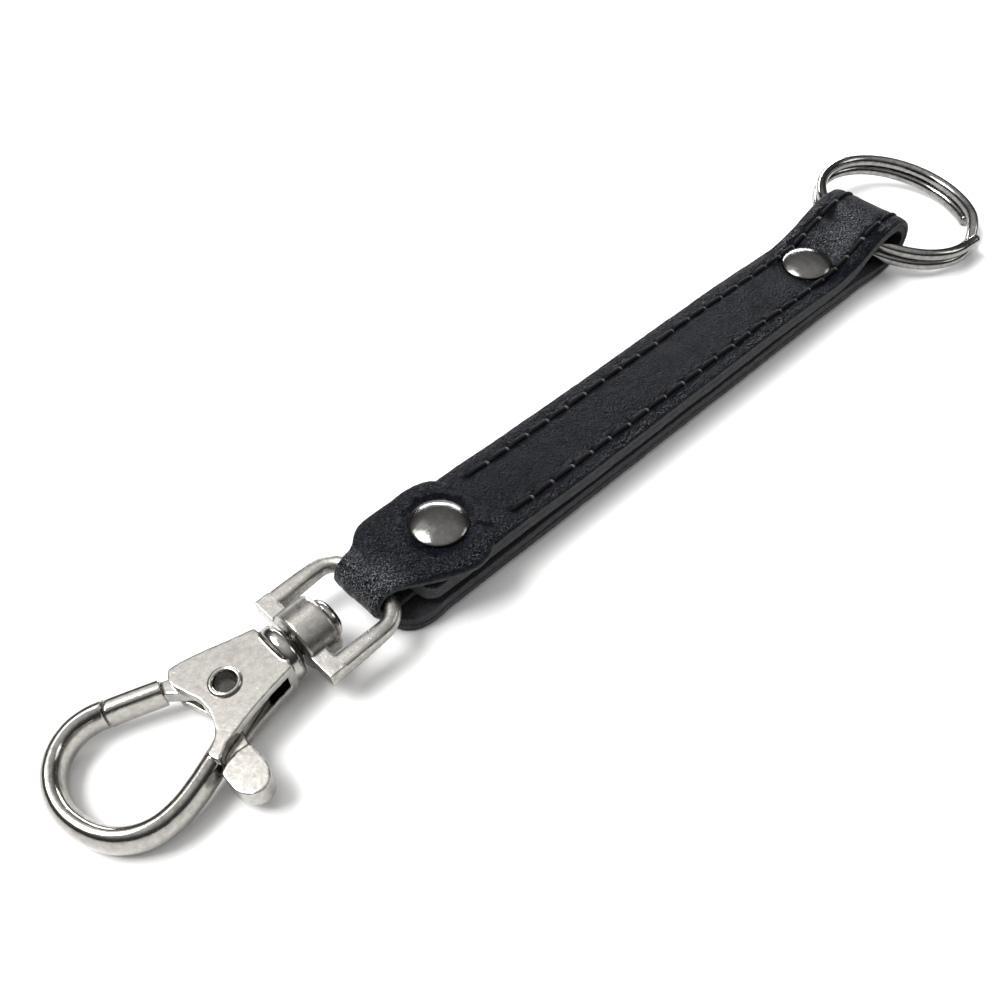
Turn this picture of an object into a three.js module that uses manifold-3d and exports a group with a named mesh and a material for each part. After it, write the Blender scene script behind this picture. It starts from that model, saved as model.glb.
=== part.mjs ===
// Wristlet keychain: a folded two-ply leather strap with a swivel trigger hook
// on one end and a split ring on the other.  Millimetres, +Z up.
// The object lies on its back: the split ring points to +X, the hook to -X.
import * as THREE from 'three';
import { mergeVertices } from 'three/addons/utils/BufferGeometryUtils.js';
import Module from 'manifold-3d';

const wasm = await Module();
wasm.setup();

// ---------------------------------------------------------------- dimensions
// whole object: shift that brings the bottom centre of its box to the origin
const ORIGIN = [-32.962, 0.483, 0.0];

// strap
const STRAP_W = 13.0;            // width of the strip (1/2 in)
const PLY = 1.3;                 // thickness of one leather ply
const PLY_GAP = 0.05;            // bond line between grain ply and lining
const STRAP_Z0 = 0.65;           // strap underside, lifted by the rivet caps
const SEAM_Y = 4.15;             // seams, from the strap's middle
const THREAD_W = 0.5;
const THREAD_SUNK = 0.16;        // how far the thread lies in the leather
const THREAD_PROUD = 0.12;       // how far it stands out of the leather
const HOLE_R = 1.45;             // rivet holes in the leather

// rivets
const RIVET_X = [0, 79.0];
const CAP_R = 3.85;
const SOCKET_R = 1.35;
const SOCKET_BORE_R = 1.0;
const POST_R = 0.93;

// tab that ties the eye to the strap
const TAB_T = 1.15;
const TAB_ROLL_R = 1.62;         // inner radius of the roll round the eye's bow
const TAB_NECK = [-3.3, 4.7];   // sides of the neck, in line with the eye
const TAB_END_X = 6.0;

// clasp frame: axis of the swivel
const CLASP = { x: -20, y: 0.7, z: 4.75, tilt: 4.3 };
const EYE_BOW_X = 9.2;           // bow of the eye, in the clasp frame
const EYE_HALF_W = 6.3;          // centre lines of its arms
const EYE_BAR_R = 1.12;
const EYE_CORNER_R = 3.4;
const HUB_R = 3.95, HUB_X = [-2.55, 1.95], HUB_BORE_R = 1.82;
const POST_SWIVEL_R = 1.68;
const PLATE_H = 2.4;             // half thickness of the hook's body
const SLOT_H = 1.08;             // half height of the slot for the trigger
const LEVER_H = 0.96;
const LOOP_W = 2.35, LOOP_H = 4.5;
const PIVOT = [-11.6, 0.25];
const GATE_R = 13.75;            // gate end, from the pivot
const GATE_H = 1.85;             // half height of the gate
const THUMB_H = 1.5;             // half thickness of the thumb piece

// split ring
const RING_R = 13.4;            // centre line of the wire
const WIRE_R = 0.9;
const RING_PITCH = 1.86;
const CHANNEL = { x: 93.0, z: 5.08, r: 2.87 };
const RING_TILT_Y = 5.3, RING_TILT_X = 6.4;

// ------------------------------------------------------------------- helpers
function toManifold(geometry) {
  let g = geometry.clone();
  g.deleteAttribute('normal');
  g.deleteAttribute('uv');
  g = mergeVertices(g, 1e-4);
  const mesh = new wasm.Mesh({
    numProp: 3,
    vertProperties: new Float32Array(g.attributes.position.array),
    triVerts: new Uint32Array(g.index.array),
  });
  return new wasm.Manifold(mesh);
}
function toGeometry(solid) {
  const m = solid.getMesh();
  const g = new THREE.BufferGeometry();
  g.setAttribute('position', new THREE.BufferAttribute(new Float32Array(m.vertProperties), 3));
  g.setIndex(new THREE.BufferAttribute(new Uint32Array(m.triVerts), 1));
  g.computeVertexNormals();
  return g;
}
const union = (...s) => s.reduce((a, b) => a.add(b));

// prism of a plan outline between two heights
function prism(points, z0, z1) {
  const shape = new THREE.Shape(points.map(p => new THREE.Vector2(p[0], p[1])));
  const g = new THREE.ExtrudeGeometry(shape, { depth: z1 - z0, bevelEnabled: false, steps: 1 });
  g.translate(0, 0, z0);
  return toManifold(g);
}
// prism of an outline in X and Z, across Y
function slab(points, y0, y1) {
  const shape = new THREE.Shape(points.map(p => new THREE.Vector2(p[0], p[1])));
  const g = new THREE.ExtrudeGeometry(shape, { depth: y1 - y0, bevelEnabled: false, steps: 1 });
  g.rotateX(Math.PI / 2);
  g.translate(0, y1, 0);
  return toManifold(g);
}
function cylinder(r, z0, z1, x = 0, y = 0, seg = 32) {
  const g = new THREE.CylinderGeometry(r, r, z1 - z0, seg);
  g.rotateX(Math.PI / 2);
  g.translate(x, y, (z0 + z1) / 2);
  return toManifold(g);
}
function box(x0, x1, y0, y1, z0, z1) {
  const g = new THREE.BoxGeometry(x1 - x0, y1 - y0, z1 - z0);
  g.translate((x0 + x1) / 2, (y0 + y1) / 2, (z0 + z1) / 2);
  return toManifold(g);
}
// body of revolution about Z; profile of [radius, z]
function latheZ(profile, seg = 32) {
  const g = new THREE.LatheGeometry(profile.map(p => new THREE.Vector2(p[0], p[1])), seg);
  g.rotateX(Math.PI / 2);
  return g;
}
// body of revolution about X; profile of [radius, x]
function latheX(profile, seg = 32) {
  const g = new THREE.LatheGeometry(profile.map(p => new THREE.Vector2(p[0], p[1])), seg);
  g.rotateZ(-Math.PI / 2);
  return g;
}
// manifold from a lathe that may have come out inside-out
function solidOf(geometry) {
  const g = geometry.clone();
  g.deleteAttribute('normal'); g.deleteAttribute('uv');
  const m = mergeVertices(g, 1e-4);
  const p = m.attributes.position, ix = m.index.array;
  const a = new THREE.Vector3(), b = new THREE.Vector3(), c = new THREE.Vector3();
  let vol = 0;
  const keep = [];
  for (let i = 0; i < ix.length; i += 3) {
    if (ix[i] === ix[i + 1] || ix[i + 1] === ix[i + 2] || ix[i] === ix[i + 2]) continue;
    a.fromBufferAttribute(p, ix[i]); b.fromBufferAttribute(p, ix[i + 1]); c.fromBufferAttribute(p, ix[i + 2]);
    vol += a.dot(b.clone().cross(c)) / 6;
    keep.push(ix[i], ix[i + 1], ix[i + 2]);
  }
  if (vol < 0) for (let i = 0; i < keep.length; i += 3) { const t = keep[i]; keep[i] = keep[i + 1]; keep[i + 1] = t; }
  return new wasm.Manifold(new wasm.Mesh({
    numProp: 3, vertProperties: new Float32Array(p.array), triVerts: new Uint32Array(keep),
  }));
}
// rounded section: superellipse, half sizes a (first) and b (second)
function section(a, b, n = 12, e = 2.6) {
  const pts = [];
  for (let i = 0; i < n; i++) {
    const t = (i + 0.5) / n * 2 * Math.PI, c = Math.cos(t), s = Math.sin(t);
    pts.push(new THREE.Vector2(Math.sign(c) * a * Math.abs(c) ** (2 / e), Math.sign(s) * b * Math.abs(s) ** (2 / e)));
  }
  return new THREE.Shape(pts);
}
function sweep(points, shape, steps, closed = false) {
  const path = new THREE.CatmullRomCurve3(points.map(p => new THREE.Vector3(...p)), closed, 'centripetal');
  return new THREE.ExtrudeGeometry(shape, { extrudePath: path, steps, bevelEnabled: false });
}
// smooth open curve through [x, z] points; long, straight stretches get no extra points
function smooth(points, per) {
  const c = new THREE.CatmullRomCurve3(points.map(p => new THREE.Vector3(p[0], p[1], 0)), false, 'centripetal');
  const out = [], n = points.length - 1;
  for (let i = 0; i < n; i++) {
    const long = Math.hypot(points[i + 1][0] - points[i][0], points[i + 1][1] - points[i][1]) > 6.5;
    const k = long ? 1 : per;
    for (let j = 0; j < k; j++) { const p = c.getPoint((i + j / k) / n); out.push([p.x, p.y]); }
  }
  out.push([...points[n]]);
  return out;
}
// curve moved sideways; positive is to the right of the direction of travel
function offset(path, d) {
  return path.map((p, i) => {
    const a = path[Math.max(0, i - 1)], b = path[Math.min(path.length - 1, i + 1)];
    const tx = b[0] - a[0], tz = b[1] - a[1], l = Math.hypot(tx, tz);
    const k = typeof d === 'function' ? d(p, i) : d;
    return [p[0] + k * tz / l, p[1] - k * tx / l];
  });
}
const ribbon = (inner, outer) => [...inner, ...outer.slice().reverse()];

const group = new THREE.Group();
function add(parent, name, geometry, color, roughness, metalness) {
  const mesh = new THREE.Mesh(geometry, new THREE.MeshStandardMaterial({ color, roughness, metalness }));
  mesh.name = name;
  parent.add(mesh);
  return mesh;
}
const LEATHER = 0x17181b, LINING = 0x1d1e20, THREAD = 0x0d0d0f, NICKEL = 0xd8d4cc, SATIN = 0xc9c6bf, STEEL = 0xb9b8b4;

// ------------------------------------------------------------- folded strap
// surface of the lining that faces the gap: along the lower half, round the
// ring, and back along the upper half
const inner = smooth([
  [-11.2, 2.60], [-8.6, 2.64], [-6.6, 2.95], [-4.6, 3.24], [-2, 3.30], [4, 3.30], [20, 3.30], [40, 3.30], [60, 3.30],
  [72, 3.30], [79, 3.28], [84, 3.08], [88, 2.62], [91, 2.24], [93.0, 2.15], [94.8, 2.33], [96.0, 2.93],
  [96.8, 4.05], [96.9, 5.3], [96.3, 6.6], [94.9, 7.68], [93.0, 8.04], [90.8, 7.76], [88, 6.75], [84.8, 5.05], [81.8, 4.02],
  [78.4, 3.64], [74, 3.72], [68, 3.98], [60, 4.14], [40, 4.14], [22, 4.14], [14, 4.32], [8, 4.56], [2, 4.60], [-3, 4.60], [-7.5, 4.60],
], 2);
// skived thinner round the ring and at the very end
const skive = p => {
  if (p[0] > 82) return 1 - 0.26 * Math.min(1, (p[0] - 82) / 8);
  if (p[0] < -6 && p[1] < 3.2) return 1 - 0.06 * Math.min(1, (-6 - p[0]) / 3);
  return 1;
};
const at = k => offset(inner, p => k * skive(p));
const liningOuter = at(PLY), grainInner = at(PLY + PLY_GAP), grainOuter = at(2 * PLY + PLY_GAP);

// plan outline: the lower end is fully rounded, the upper one is square
const W2 = STRAP_W / 2;
function roundedEnd(x, r, y) {
  const pts = [];
  for (let i = 0; i <= 8; i++) { const a = Math.PI / 2 + i / 8 * Math.PI / 2; pts.push([x + r + r * Math.cos(a), y - r + r * Math.sin(a)]); }
  for (let i = 0; i <= 8; i++) { const a = Math.PI + i / 8 * Math.PI / 2; pts.push([x + r + r * Math.cos(a), -y + r + r * Math.sin(a)]); }
  return pts;
}
const lowerPlan = prism([...roundedEnd(-11.2, 4.6, W2), [110, -W2], [110, W2]], -2, 4.0);
const upperPlan = prism([...roundedEnd(-7.5, 2.2, W2), [110, -W2], [110, W2]], 3.9, 14);
const plan = union(lowerPlan, upperPlan);
const holes = (r, z0 = -2, z1 = 14) => union(cylinder(r, z0, z1, RIVET_X[0], 0), cylinder(r, z0, z1, RIVET_X[1], 0));

// thread runs: index range of the strip that carries a seam
const seamFrom = inner.findIndex(p => p[0] > -4);
const seamTo = inner.length - 1 - inner.slice().reverse().findIndex(p => p[0] > 6.9);
function seam(base, sunk, proud, out) {
  // out = +1 on the grain side, -1 on the lining side
  const a = offset(base, (p) => out * proud), b = offset(base, (p) => -out * sunk);
  return ribbon(a.slice(seamFrom, seamTo), b.slice(seamFrom, seamTo));
}
function grooveCut(base, sunk, out) {
  const a = offset(base, () => (out > 0 ? 0.6 : -0.14)), b = offset(base, () => -out * (sunk + 0.03));
  const mid = (c, i, j) => [c[i][0] + (c[j][0] - c[i][0]) * 0.37, c[i][1] + (c[j][1] - c[i][1]) * 0.37];
  const run = c => [mid(c, seamFrom, seamFrom - 1), ...c.slice(seamFrom, seamTo), mid(c, seamTo - 1, seamTo)];
  const band = ribbon(run(a), run(b));
  const h = THREAD_W / 2 + 0.03;
  return union(slab(band, SEAM_Y - h, SEAM_Y + h), slab(band, -SEAM_Y - h, -SEAM_Y + h));
}
function thread(base, y, out) {
  return solidOf(toGeometry(slab(seam(base, THREAD_SUNK, out > 0 ? THREAD_PROUD : 0.0, out), y - THREAD_W / 2, y + THREAD_W / 2)));
}

const capSeat0 = cylinder(CAP_R + 0.12, 8.12, 12, RIVET_X[0], 0, 36);
const capSeat1 = (() => {
  const g = new THREE.CylinderGeometry(CAP_R + 0.1, CAP_R + 0.1, 6, 36);
  g.rotateX(Math.PI / 2); g.translate(0, 0, 3);
  g.rotateY(THREE.MathUtils.degToRad(-5.5));
  g.translate(RIVET_X[1], 0, 6.08);
  return toManifold(g);
})();
const postSeats = union(cylinder(CAP_R + 0.04, -2, STRAP_Z0 + 0.25, RIVET_X[0], 0, 36), cylinder(CAP_R + 0.04, -2, STRAP_Z0 + 0.25, RIVET_X[1], 0, 36));

const grain = slab(ribbon(grainInner, grainOuter), -W2, W2).intersect(plan)
  .subtract(holes(HOLE_R)).subtract(grooveCut(grainOuter, THREAD_SUNK, 1)).subtract(postSeats).subtract(capSeat1);
const lining = slab(ribbon(inner, liningOuter), -W2 + 0.05, W2 - 0.05).intersect(plan)
  .subtract(holes(HOLE_R)).subtract(grooveCut(inner, THREAD_SUNK, -1));
add(group, 'strap_grain_ply', toGeometry(grain), LEATHER, 0.5, 0);
add(group, 'strap_lining_ply', toGeometry(lining), LINING, 0.75, 0);
add(group, 'seam_thread_far', toGeometry(thread(grainOuter, SEAM_Y, 1)), THREAD, 0.6, 0);
add(group, 'seam_thread_near', toGeometry(thread(grainOuter, -SEAM_Y, 1)), THREAD, 0.6, 0);
add(group, 'bobbin_thread_far', toGeometry(thread(inner, SEAM_Y, -1)), THREAD, 0.6, 0);
add(group, 'bobbin_thread_near', toGeometry(thread(inner, -SEAM_Y, -1)), THREAD, 0.6, 0);

// --------------------------------------------------------------- leather tab
const bow = [
  CLASP.x + EYE_BOW_X * Math.cos(THREE.MathUtils.degToRad(CLASP.tilt)),
  CLASP.z + EYE_BOW_X * Math.sin(THREE.MathUtils.degToRad(CLASP.tilt)),
];
{
  const R = TAB_ROLL_R;
  const lower = smooth([[TAB_END_X, 4.52], [2, 4.52], [-2, 4.52], [-5, 4.46], [-7.5, 4.02], [bow[0] + 1.1, bow[1] - R - 0.02]], 2);
  const arc = [];
  for (let i = 1; i < 14; i++) { const a = -Math.PI / 2 - i / 14 * Math.PI; arc.push([bow[0] + R * Math.cos(a), bow[1] + R * Math.sin(a)]); }
  const upper = smooth([[bow[0] + 1.1, bow[1] + R + 0.02], [-8.2, 7.24], [-6.8, 7.3], [-4, 7.3], [0, 7.3], [9, 7.3]], 2);
  const low0 = [...lower, ...arc.slice(0, 1)];
  const all = [...lower, ...arc, ...upper];
  const outer = offset(all, -TAB_T);
  const neck = slab(ribbon(all, outer), TAB_NECK[0], TAB_NECK[1]).intersect(union(box(-16, TAB_END_X, -8, 8, 0, 5.0), box(-16, 3, -8, 8, 4.9, 12)));
  // lobe over the end of the strap
  const up = all.slice(lower.length + 8);
  const upOut = outer.slice(lower.length + 8);
  const lobePlan = [
    [-12.9, 4.55], [-11.0, 4.7], [-9.8, 5.05], [-8.7, 6.0], [-7.4, 6.85], [-5.6, 7.1], [-3, 7.1], [-1, 7.15], [1.5, 7.1], [3.4, 6.5], [4.8, 5.2], [5.5, 3.4],
    [5.85, 1.2], [5.8, -1.2], [5.3, -3.4], [4.4, -5.2], [3.0, -6.8], [1.2, -7.7], [-0.8, -7.9], [-3.0, -7.4], [-5.4, -6.4], [-7.6, -5.2], [-9.8, -3.75], [-12.9, -3.25],
  ];
  const lobe = slab(ribbon(up, upOut), -9, 9).intersect(prism(lobePlan, 4.9, 12));
  const tab = union(neck, lobe).subtract(cylinder(HOLE_R, -2, 14)).subtract(capSeat0);
  add(group, 'leather_tab', toGeometry(tab), LEATHER, 0.5, 0);
}

// -------------------------------------------------------------------- rivets
// two-piece double-cap rivets: the cap's socket is pressed over the post
function dome(r, h, z, tilt = 0) {
  const prof = [[0, 0], [r - 0.25, 0], [r, 0.18], [r, 0.36]];
  for (let i = 1; i < 5; i++) { const t = i / 5; prof.push([r * Math.cos(t * Math.PI / 2) ** 0.9, 0.36 + (h - 0.36) * Math.sin(t * Math.PI / 2)]); }
  prof.push([0, h]);
  const g = latheZ(prof, 28);
  g.rotateY(THREE.MathUtils.degToRad(-tilt));
  g.translate(0, 0, z);
  return solidOf(g);
}
function rivet(prefix, x, seatTop, tilt, capH) {
  const topZ = seatTop;
  const socketLow = STRAP_Z0 + 2.2;
  // down from the cap
  const tube = cylinder(SOCKET_R, socketLow, topZ + 0.35, 0, 0, 18);
  const bore = cylinder(SOCKET_BORE_R, -1, topZ + 0.38, 0, 0, 18);
  const cap = union(dome(CAP_R, capH, topZ, tilt), tube).subtract(bore);
  const c = add(group, prefix + '_rivet_cap', toGeometry(cap), SATIN, 0.22, 1);
  c.position.set(x, 0, 0);
  // head with a flat worked on it by the setting anvil
  const hz = STRAP_Z0 + 0.21;
  const head = latheZ([[0, hz], [CAP_R - 0.2, hz], [CAP_R, hz - 0.16], [CAP_R, hz - 0.34], [CAP_R - 0.5, hz - 0.62], [2.9, 0.0], [0, 0.0]], 28);
  const post = union(solidOf(head), cylinder(POST_R, hz - 0.1, topZ + 0.24, 0, 0, 24));
  const p = add(group, prefix + '_rivet_post', toGeometry(post), SATIN, 0.25, 1);
  p.position.set(x, 0, 0);
}
rivet('clasp', RIVET_X[0], 8.16, 0, 1.2);
rivet('ring', RIVET_X[1], 6.14, 5.5, 1.2);

// ---------------------------------------------------------------------- clasp
const clasp = new THREE.Group();
clasp.position.set(CLASP.x, CLASP.y, CLASP.z);
clasp.rotation.y = THREE.MathUtils.degToRad(-CLASP.tilt);
group.add(clasp);

// D-eye: square ended arms, a round bow, and the swivel's barrel on the crossbar
{
  const c = EYE_CORNER_R, x0 = -2.65, xb = EYE_BOW_X, w = EYE_HALF_W;
  const pts = [[x0 + 1.0, -w, 0], [1.5, -w, 0], [xb - c, -w, 0]];
  for (let i = 1; i < 6; i++) { const a = -Math.PI / 2 + i / 6 * Math.PI / 2; pts.push([xb - c + c * Math.cos(a), -w + c + c * Math.sin(a), 0]); }
  pts.push([xb, -w + c, 0], [xb, 0, 0], [xb, w - c, 0]);
  for (let i = 1; i < 6; i++) { const a = i / 6 * Math.PI / 2; pts.push([xb - c + c * Math.cos(a), w - c + c * Math.sin(a), 0]); }
  pts.push([xb - c, w, 0], [1.5, w, 0], [x0 + 1.0, w, 0]);
  const bowSolid = toManifold(sweep(pts, section(EYE_BAR_R, EYE_BAR_R, 10, 2.0), 30));
  const bar = box(x0, x0 + 2.2, -w - 1.05, w + 1.05, -1.12, 1.12);
  const hub = solidOf(latheX([[0, HUB_X[0]], [HUB_R - 0.35, HUB_X[0]], [HUB_R, HUB_X[0] + 0.35], [HUB_R, HUB_X[1] - 0.5], [HUB_R - 0.5, HUB_X[1]], [0, HUB_X[1]]], 26));
  const boreCut = solidOf(latheX([[0, -6], [HUB_BORE_R, -6], [HUB_BORE_R, 6], [0, 6]], 20));
  add(clasp, 'swivel_eye', toGeometry(union(bowSolid, bar, hub).subtract(boreCut)), NICKEL, 0.3, 1);
}

// hook body: two cheeks joined at the neck, the hook's loop, collar and post
const cheek = [
  [-5.0, 3.3], [-7.9, 4.35], [-11.3, 5.6], [-14.2, 6.3], [-15.2, 6.3], [-15.7, 5.75], [-16.1, 4.65], [-15.55, 2.6], [-15.0, 0.9], [-14.9, -0.5], [-15.1, -1.9],
  [-15.7, -3.5], [-16.7, -4.7], [-17.9, -5.4], [-17.6, -7.0], [-16.1, -6.1], [-14.4, -5.6], [-11.85, -4.85], [-8.5, -4.05], [-5.0, -3.3],
];
const loopPts = [
  [-15.6, -4.75, 0], [-17.0, -5.35, 0], [-19.0, -6.15, 0], [-21.4, -7.0, 0], [-23.7, -7.55, 0], [-26.2, -7.6, 0], [-28.3, -6.9, 0], [-30.15, -5.5, 0], [-31.35, -3.8, 0],
  [-32.15, -1.8, 0], [-32.6, 0.6, 0], [-32.5, 2.6, 0], [-31.95, 4.6, 0], [-30.85, 6.5, 0], [-29.1, 8.05, 0], [-26.9, 8.95, 0], [-24.8, 9.25, 0], [-22.4, 9.15, 0],
];
{
  const cheeks = prism(cheek, -PLATE_H, PLATE_H);
  const loop = toManifold(sweep(loopPts, section(LOOP_H / 2, LOOP_W / 2, 12, 2.5), 34));
  const collar = solidOf(latheX([
    [0, -6.6], [2.9, -6.6], [3.1, -5.2], [3.45, -4.95], [3.45, -3.65], [3.15, -3.35], [2.35, -3.3], [2.35, -2.92],
    [POST_SWIVEL_R, -2.9], [POST_SWIVEL_R, 2.08], [2.6, 2.1], [2.55, 2.7], [2.1, 3.15], [0, 3.35]], 24));
  const slot = prism([[-6.1, -9], [-6.1, 2.6], [-12.2, 4.9], [-12.2, 9], [-17.0, 9], [-17.2, -3.6], [-17.4, -9]], -SLOT_H, SLOT_H);
  // the tip ends on an arc about the pivot, so that the gate can pass
  const tipCut = cylinder(GATE_R + 0.2, -6, 6, PIVOT[0], PIVOT[1], 72).intersect(box(-27, -15, 6.6, 14, -6, 6));
  const hole = cylinder(1.72, -6, 6, PIVOT[0], PIVOT[1], 20);
  const body = union(cheeks.subtract(slot), loop.subtract(slot).subtract(tipCut), collar).subtract(hole);
  add(clasp, 'hook_body', toGeometry(body), NICKEL, 0.25, 1);
}

// trigger: gate, pivot boss and thumb piece in one
{
  const [px, py] = PIVOT;
  const boss = cylinder(3.3, -LEVER_H, LEVER_H, px, py, 36);
  const toGate = prism([[-10.6, 3.2], [-16.3, 6.55], [-18.2, 7.2], [-18.9, 5.3], [-17.6, 4.85], [-13.9, 1.2], [-14.0, -1.0], [-11.6, -2.0]], -LEVER_H, LEVER_H);
  const toThumb = prism([[-8.6, -1.0], [-8.8, -3.1], [-13.6, -4.95], [-14.1, -7.6], [-17.6, -7.9], [-16.9, -6.2], [-16.3, -4.2], [-14.6, -1.2], [-11.6, 0.2]], -LEVER_H, LEVER_H);
  const gate = prism([[-16.95, 6.95], [-22.0, 8.95], [-24.5, 9.7], [-24.5, 7.6], [-22.9, 7.1], [-17.75, 5.0]], -GATE_H, GATE_H)
    .intersect(cylinder(GATE_R, -6, 6, px, py, 96)).subtract(cylinder(7.2, -6, 6, px, py, 64));
  const t = [[-14.1, -7.3], [-18.0, -7.75], [-18.35, -9.4], [-18.3, -10.7], [-17.8, -11.8], [-16.9, -12.55], [-15.9, -12.7], [-14.95, -12.3], [-14.3, -11.4], [-14.0, -10.2], [-13.95, -8.8]];
  const thumb = prism(t, -THUMB_H, THUMB_H);
  // pocket for the spring, open below, and the hole for the eyelet
  const pocket = cylinder(2.75, -4, 0.2, px, py, 36);
  const hole = cylinder(1.74, -6, 6, px, py, 28);
  add(clasp, 'trigger', toGeometry(union(boss, toGate, toThumb, gate, thumb).subtract(pocket).subtract(hole)), NICKEL, 0.25, 1);
}

// torsion spring under the boss, round the eyelet
{
  const [px, py] = PIVOT, pts = [], turns = 2.0, n = 24;
  for (let i = 0; i <= n; i++) {
    const a = 0.9 + i / n * turns * 2 * Math.PI;
    pts.push([px + 2.12 * Math.cos(a), py + 2.12 * Math.sin(a), -0.72 + 0.72 * i / n]);
  }
  const g = sweep(pts, section(0.15, 0.15, 6, 2), 34);
  add(clasp, 'trigger_spring', toGeometry(toManifold(g)), STEEL, 0.35, 1);
}

// hollow pivot rivet with its two rolled flanges
{
  const [px, py] = PIVOT, z = PLATE_H + 0.03;
  const prof = [[1.32, -z - 0.3], [1.5, -z - 0.42], [1.95, -z - 0.3], [2.02, -z], [1.62, -z], [1.62, z], [2.02, z], [1.95, z + 0.3], [1.5, z + 0.42], [1.32, z + 0.3], [1.32, -z - 0.3]];
  const g = latheZ(prof, 20);
  const e = add(clasp, 'pivot_eyelet', toGeometry(solidOf(g)), SATIN, 0.2, 1);
  e.position.set(px, py, 0);
}

// ----------------------------------------------------------------- split ring
// two turns of wire; the middle of the wire steps from one turn to the other
{
  const pts = [], rise = 17, mid = -58;          // degrees
  const a0 = mid + rise, a1 = mid + 720 - rise, n = 84;
  for (let i = 0; i <= n; i++) {
    const a = a0 + (a1 - a0) * i / n, s = (a - (mid + 360)) / rise;
    const k = s <= -1 ? 0 : s >= 1 ? 1 : 0.5 + 0.5 * Math.sin(s * Math.PI / 2);
    const r = THREE.MathUtils.degToRad(a);
    // the outer end springs out a little
    const q = Math.max(0, (a - (a1 - 16)) / 16), rr = RING_R + 0.55 * q * q;
    pts.push([rr * Math.cos(r), rr * Math.sin(r), (k - 0.5) * RING_PITCH + 0.15 * q * q]);
  }
  const g = sweep(pts, section(WIRE_R, WIRE_R, 8, 2), 84);
  const ring = add(group, 'split_ring', toGeometry(toManifold(g)), STEEL, 0.18, 1);
  // its nearest point hangs in the fold
  const ty = THREE.MathUtils.degToRad(RING_TILT_Y);
  ring.rotation.set(THREE.MathUtils.degToRad(RING_TILT_X), ty, 0, 'YXZ');
  ring.position.set(CHANNEL.x - 0.98 + RING_R * Math.cos(ty), -0.45, CHANNEL.z - RING_R * Math.sin(ty));
}

group.position.set(...ORIGIN);
export default group;
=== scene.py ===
import math

import bpy
import numpy as np
from mathutils import Matrix, Vector


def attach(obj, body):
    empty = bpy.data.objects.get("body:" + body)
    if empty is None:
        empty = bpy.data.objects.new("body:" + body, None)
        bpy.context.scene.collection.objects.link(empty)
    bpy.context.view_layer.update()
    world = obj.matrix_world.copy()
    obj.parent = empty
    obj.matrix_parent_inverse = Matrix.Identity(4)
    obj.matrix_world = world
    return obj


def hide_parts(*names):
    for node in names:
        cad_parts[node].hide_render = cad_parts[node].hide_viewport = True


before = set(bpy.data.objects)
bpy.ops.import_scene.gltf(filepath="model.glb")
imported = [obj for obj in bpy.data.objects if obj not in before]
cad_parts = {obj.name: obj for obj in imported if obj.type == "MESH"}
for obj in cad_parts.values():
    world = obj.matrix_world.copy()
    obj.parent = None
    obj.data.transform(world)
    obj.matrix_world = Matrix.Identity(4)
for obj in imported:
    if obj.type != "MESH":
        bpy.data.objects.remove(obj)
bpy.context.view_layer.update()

sc = bpy.context.scene
rng = np.random.default_rng(7)

# ------------------------------------------------------------------ camera
cam_data = bpy.data.cameras.new("camera")
cam = bpy.data.objects.new("camera", cam_data)
sc.collection.objects.link(cam)
r_ = Vector((0.71249, -0.70168, 0.0)).normalized()
w_ = Vector((0.46137, 0.46847, -0.75345)).normalized()
u_ = r_.cross(w_).normalized()
cam.matrix_world = Matrix((
    (r_.x, u_.x, -w_.x, -0.088560),
    (r_.y, u_.y, -w_.y, -0.066853),
    (r_.z, u_.z, -w_.z, 0.112344),
    (0, 0, 0, 1)))
cam_data.lens = 39.364
cam_data.sensor_width = 36.0
cam_data.clip_start = 0.005
cam_data.dof.use_dof = False
sc.camera = cam

# ------------------------------------------------------------ frames (mm)
OX, OY = -32.962, 0.483
TILT = math.radians(4.3)
CT, ST = math.cos(TILT), math.sin(TILT)


def strap_m(p):
    """strap frame, millimetres, to the model's frame in metres"""
    q = np.array(p, float).copy()
    q[..., 0] += OX
    q[..., 1] += OY
    return q / 1000.0


def clasp_m(p):
    """clasp frame (x along the swivel, y across, h up), millimetres, to metres"""
    p = np.array(p, float)
    X = -20 + p[..., 0] * CT - p[..., 2] * ST
    Y = 0.7 + p[..., 1]
    Z = 4.75 + p[..., 0] * ST + p[..., 2] * CT
    return strap_m(np.stack([X, Y, Z], -1))


# ------------------------------------------------------------------ noise
def _hash(ix, iy, iz, seed):
    n = (ix * 374761393 + iy * 668265263 + iz * 1442695041 + seed * 974634777) & 0x7FFFFFFF
    n = ((n ^ (n >> 13)) * 1274126177) & 0x7FFFFFFF
    n = n ^ (n >> 16)
    return (n & 0xFFFF) / 32767.5 - 1.0


def vnoise(p, seed=0):
    p = np.asarray(p, float)
    i = np.floor(p).astype(np.int64)
    f = p - i
    f = f * f * f * (f * (f * 6 - 15) + 10)
    out = 0.0
    for a in (0, 1):
        for b in (0, 1):
            for c in (0, 1):
                wgt = (f[:, 0] if a else 1 - f[:, 0]) * (f[:, 1] if b else 1 - f[:, 1]) * (f[:, 2] if c else 1 - f[:, 2])
                out = out + wgt * _hash(i[:, 0] + a, i[:, 1] + b, i[:, 2] + c, seed)
    return out


def fbm(p, seed=0, octaves=3):
    s, a, t = 0.0, 1.0, 0.0
    p = np.asarray(p, float)
    for k in range(octaves):
        s = s + a * vnoise(p * (2.03 ** k), seed + 17 * k)
        t += a
        a *= 0.5
    return s / t


def sstep(a, b, x):
    t = np.clip((x - a) / (b - a), 0, 1)
    return t * t * (3 - 2 * t)


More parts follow.
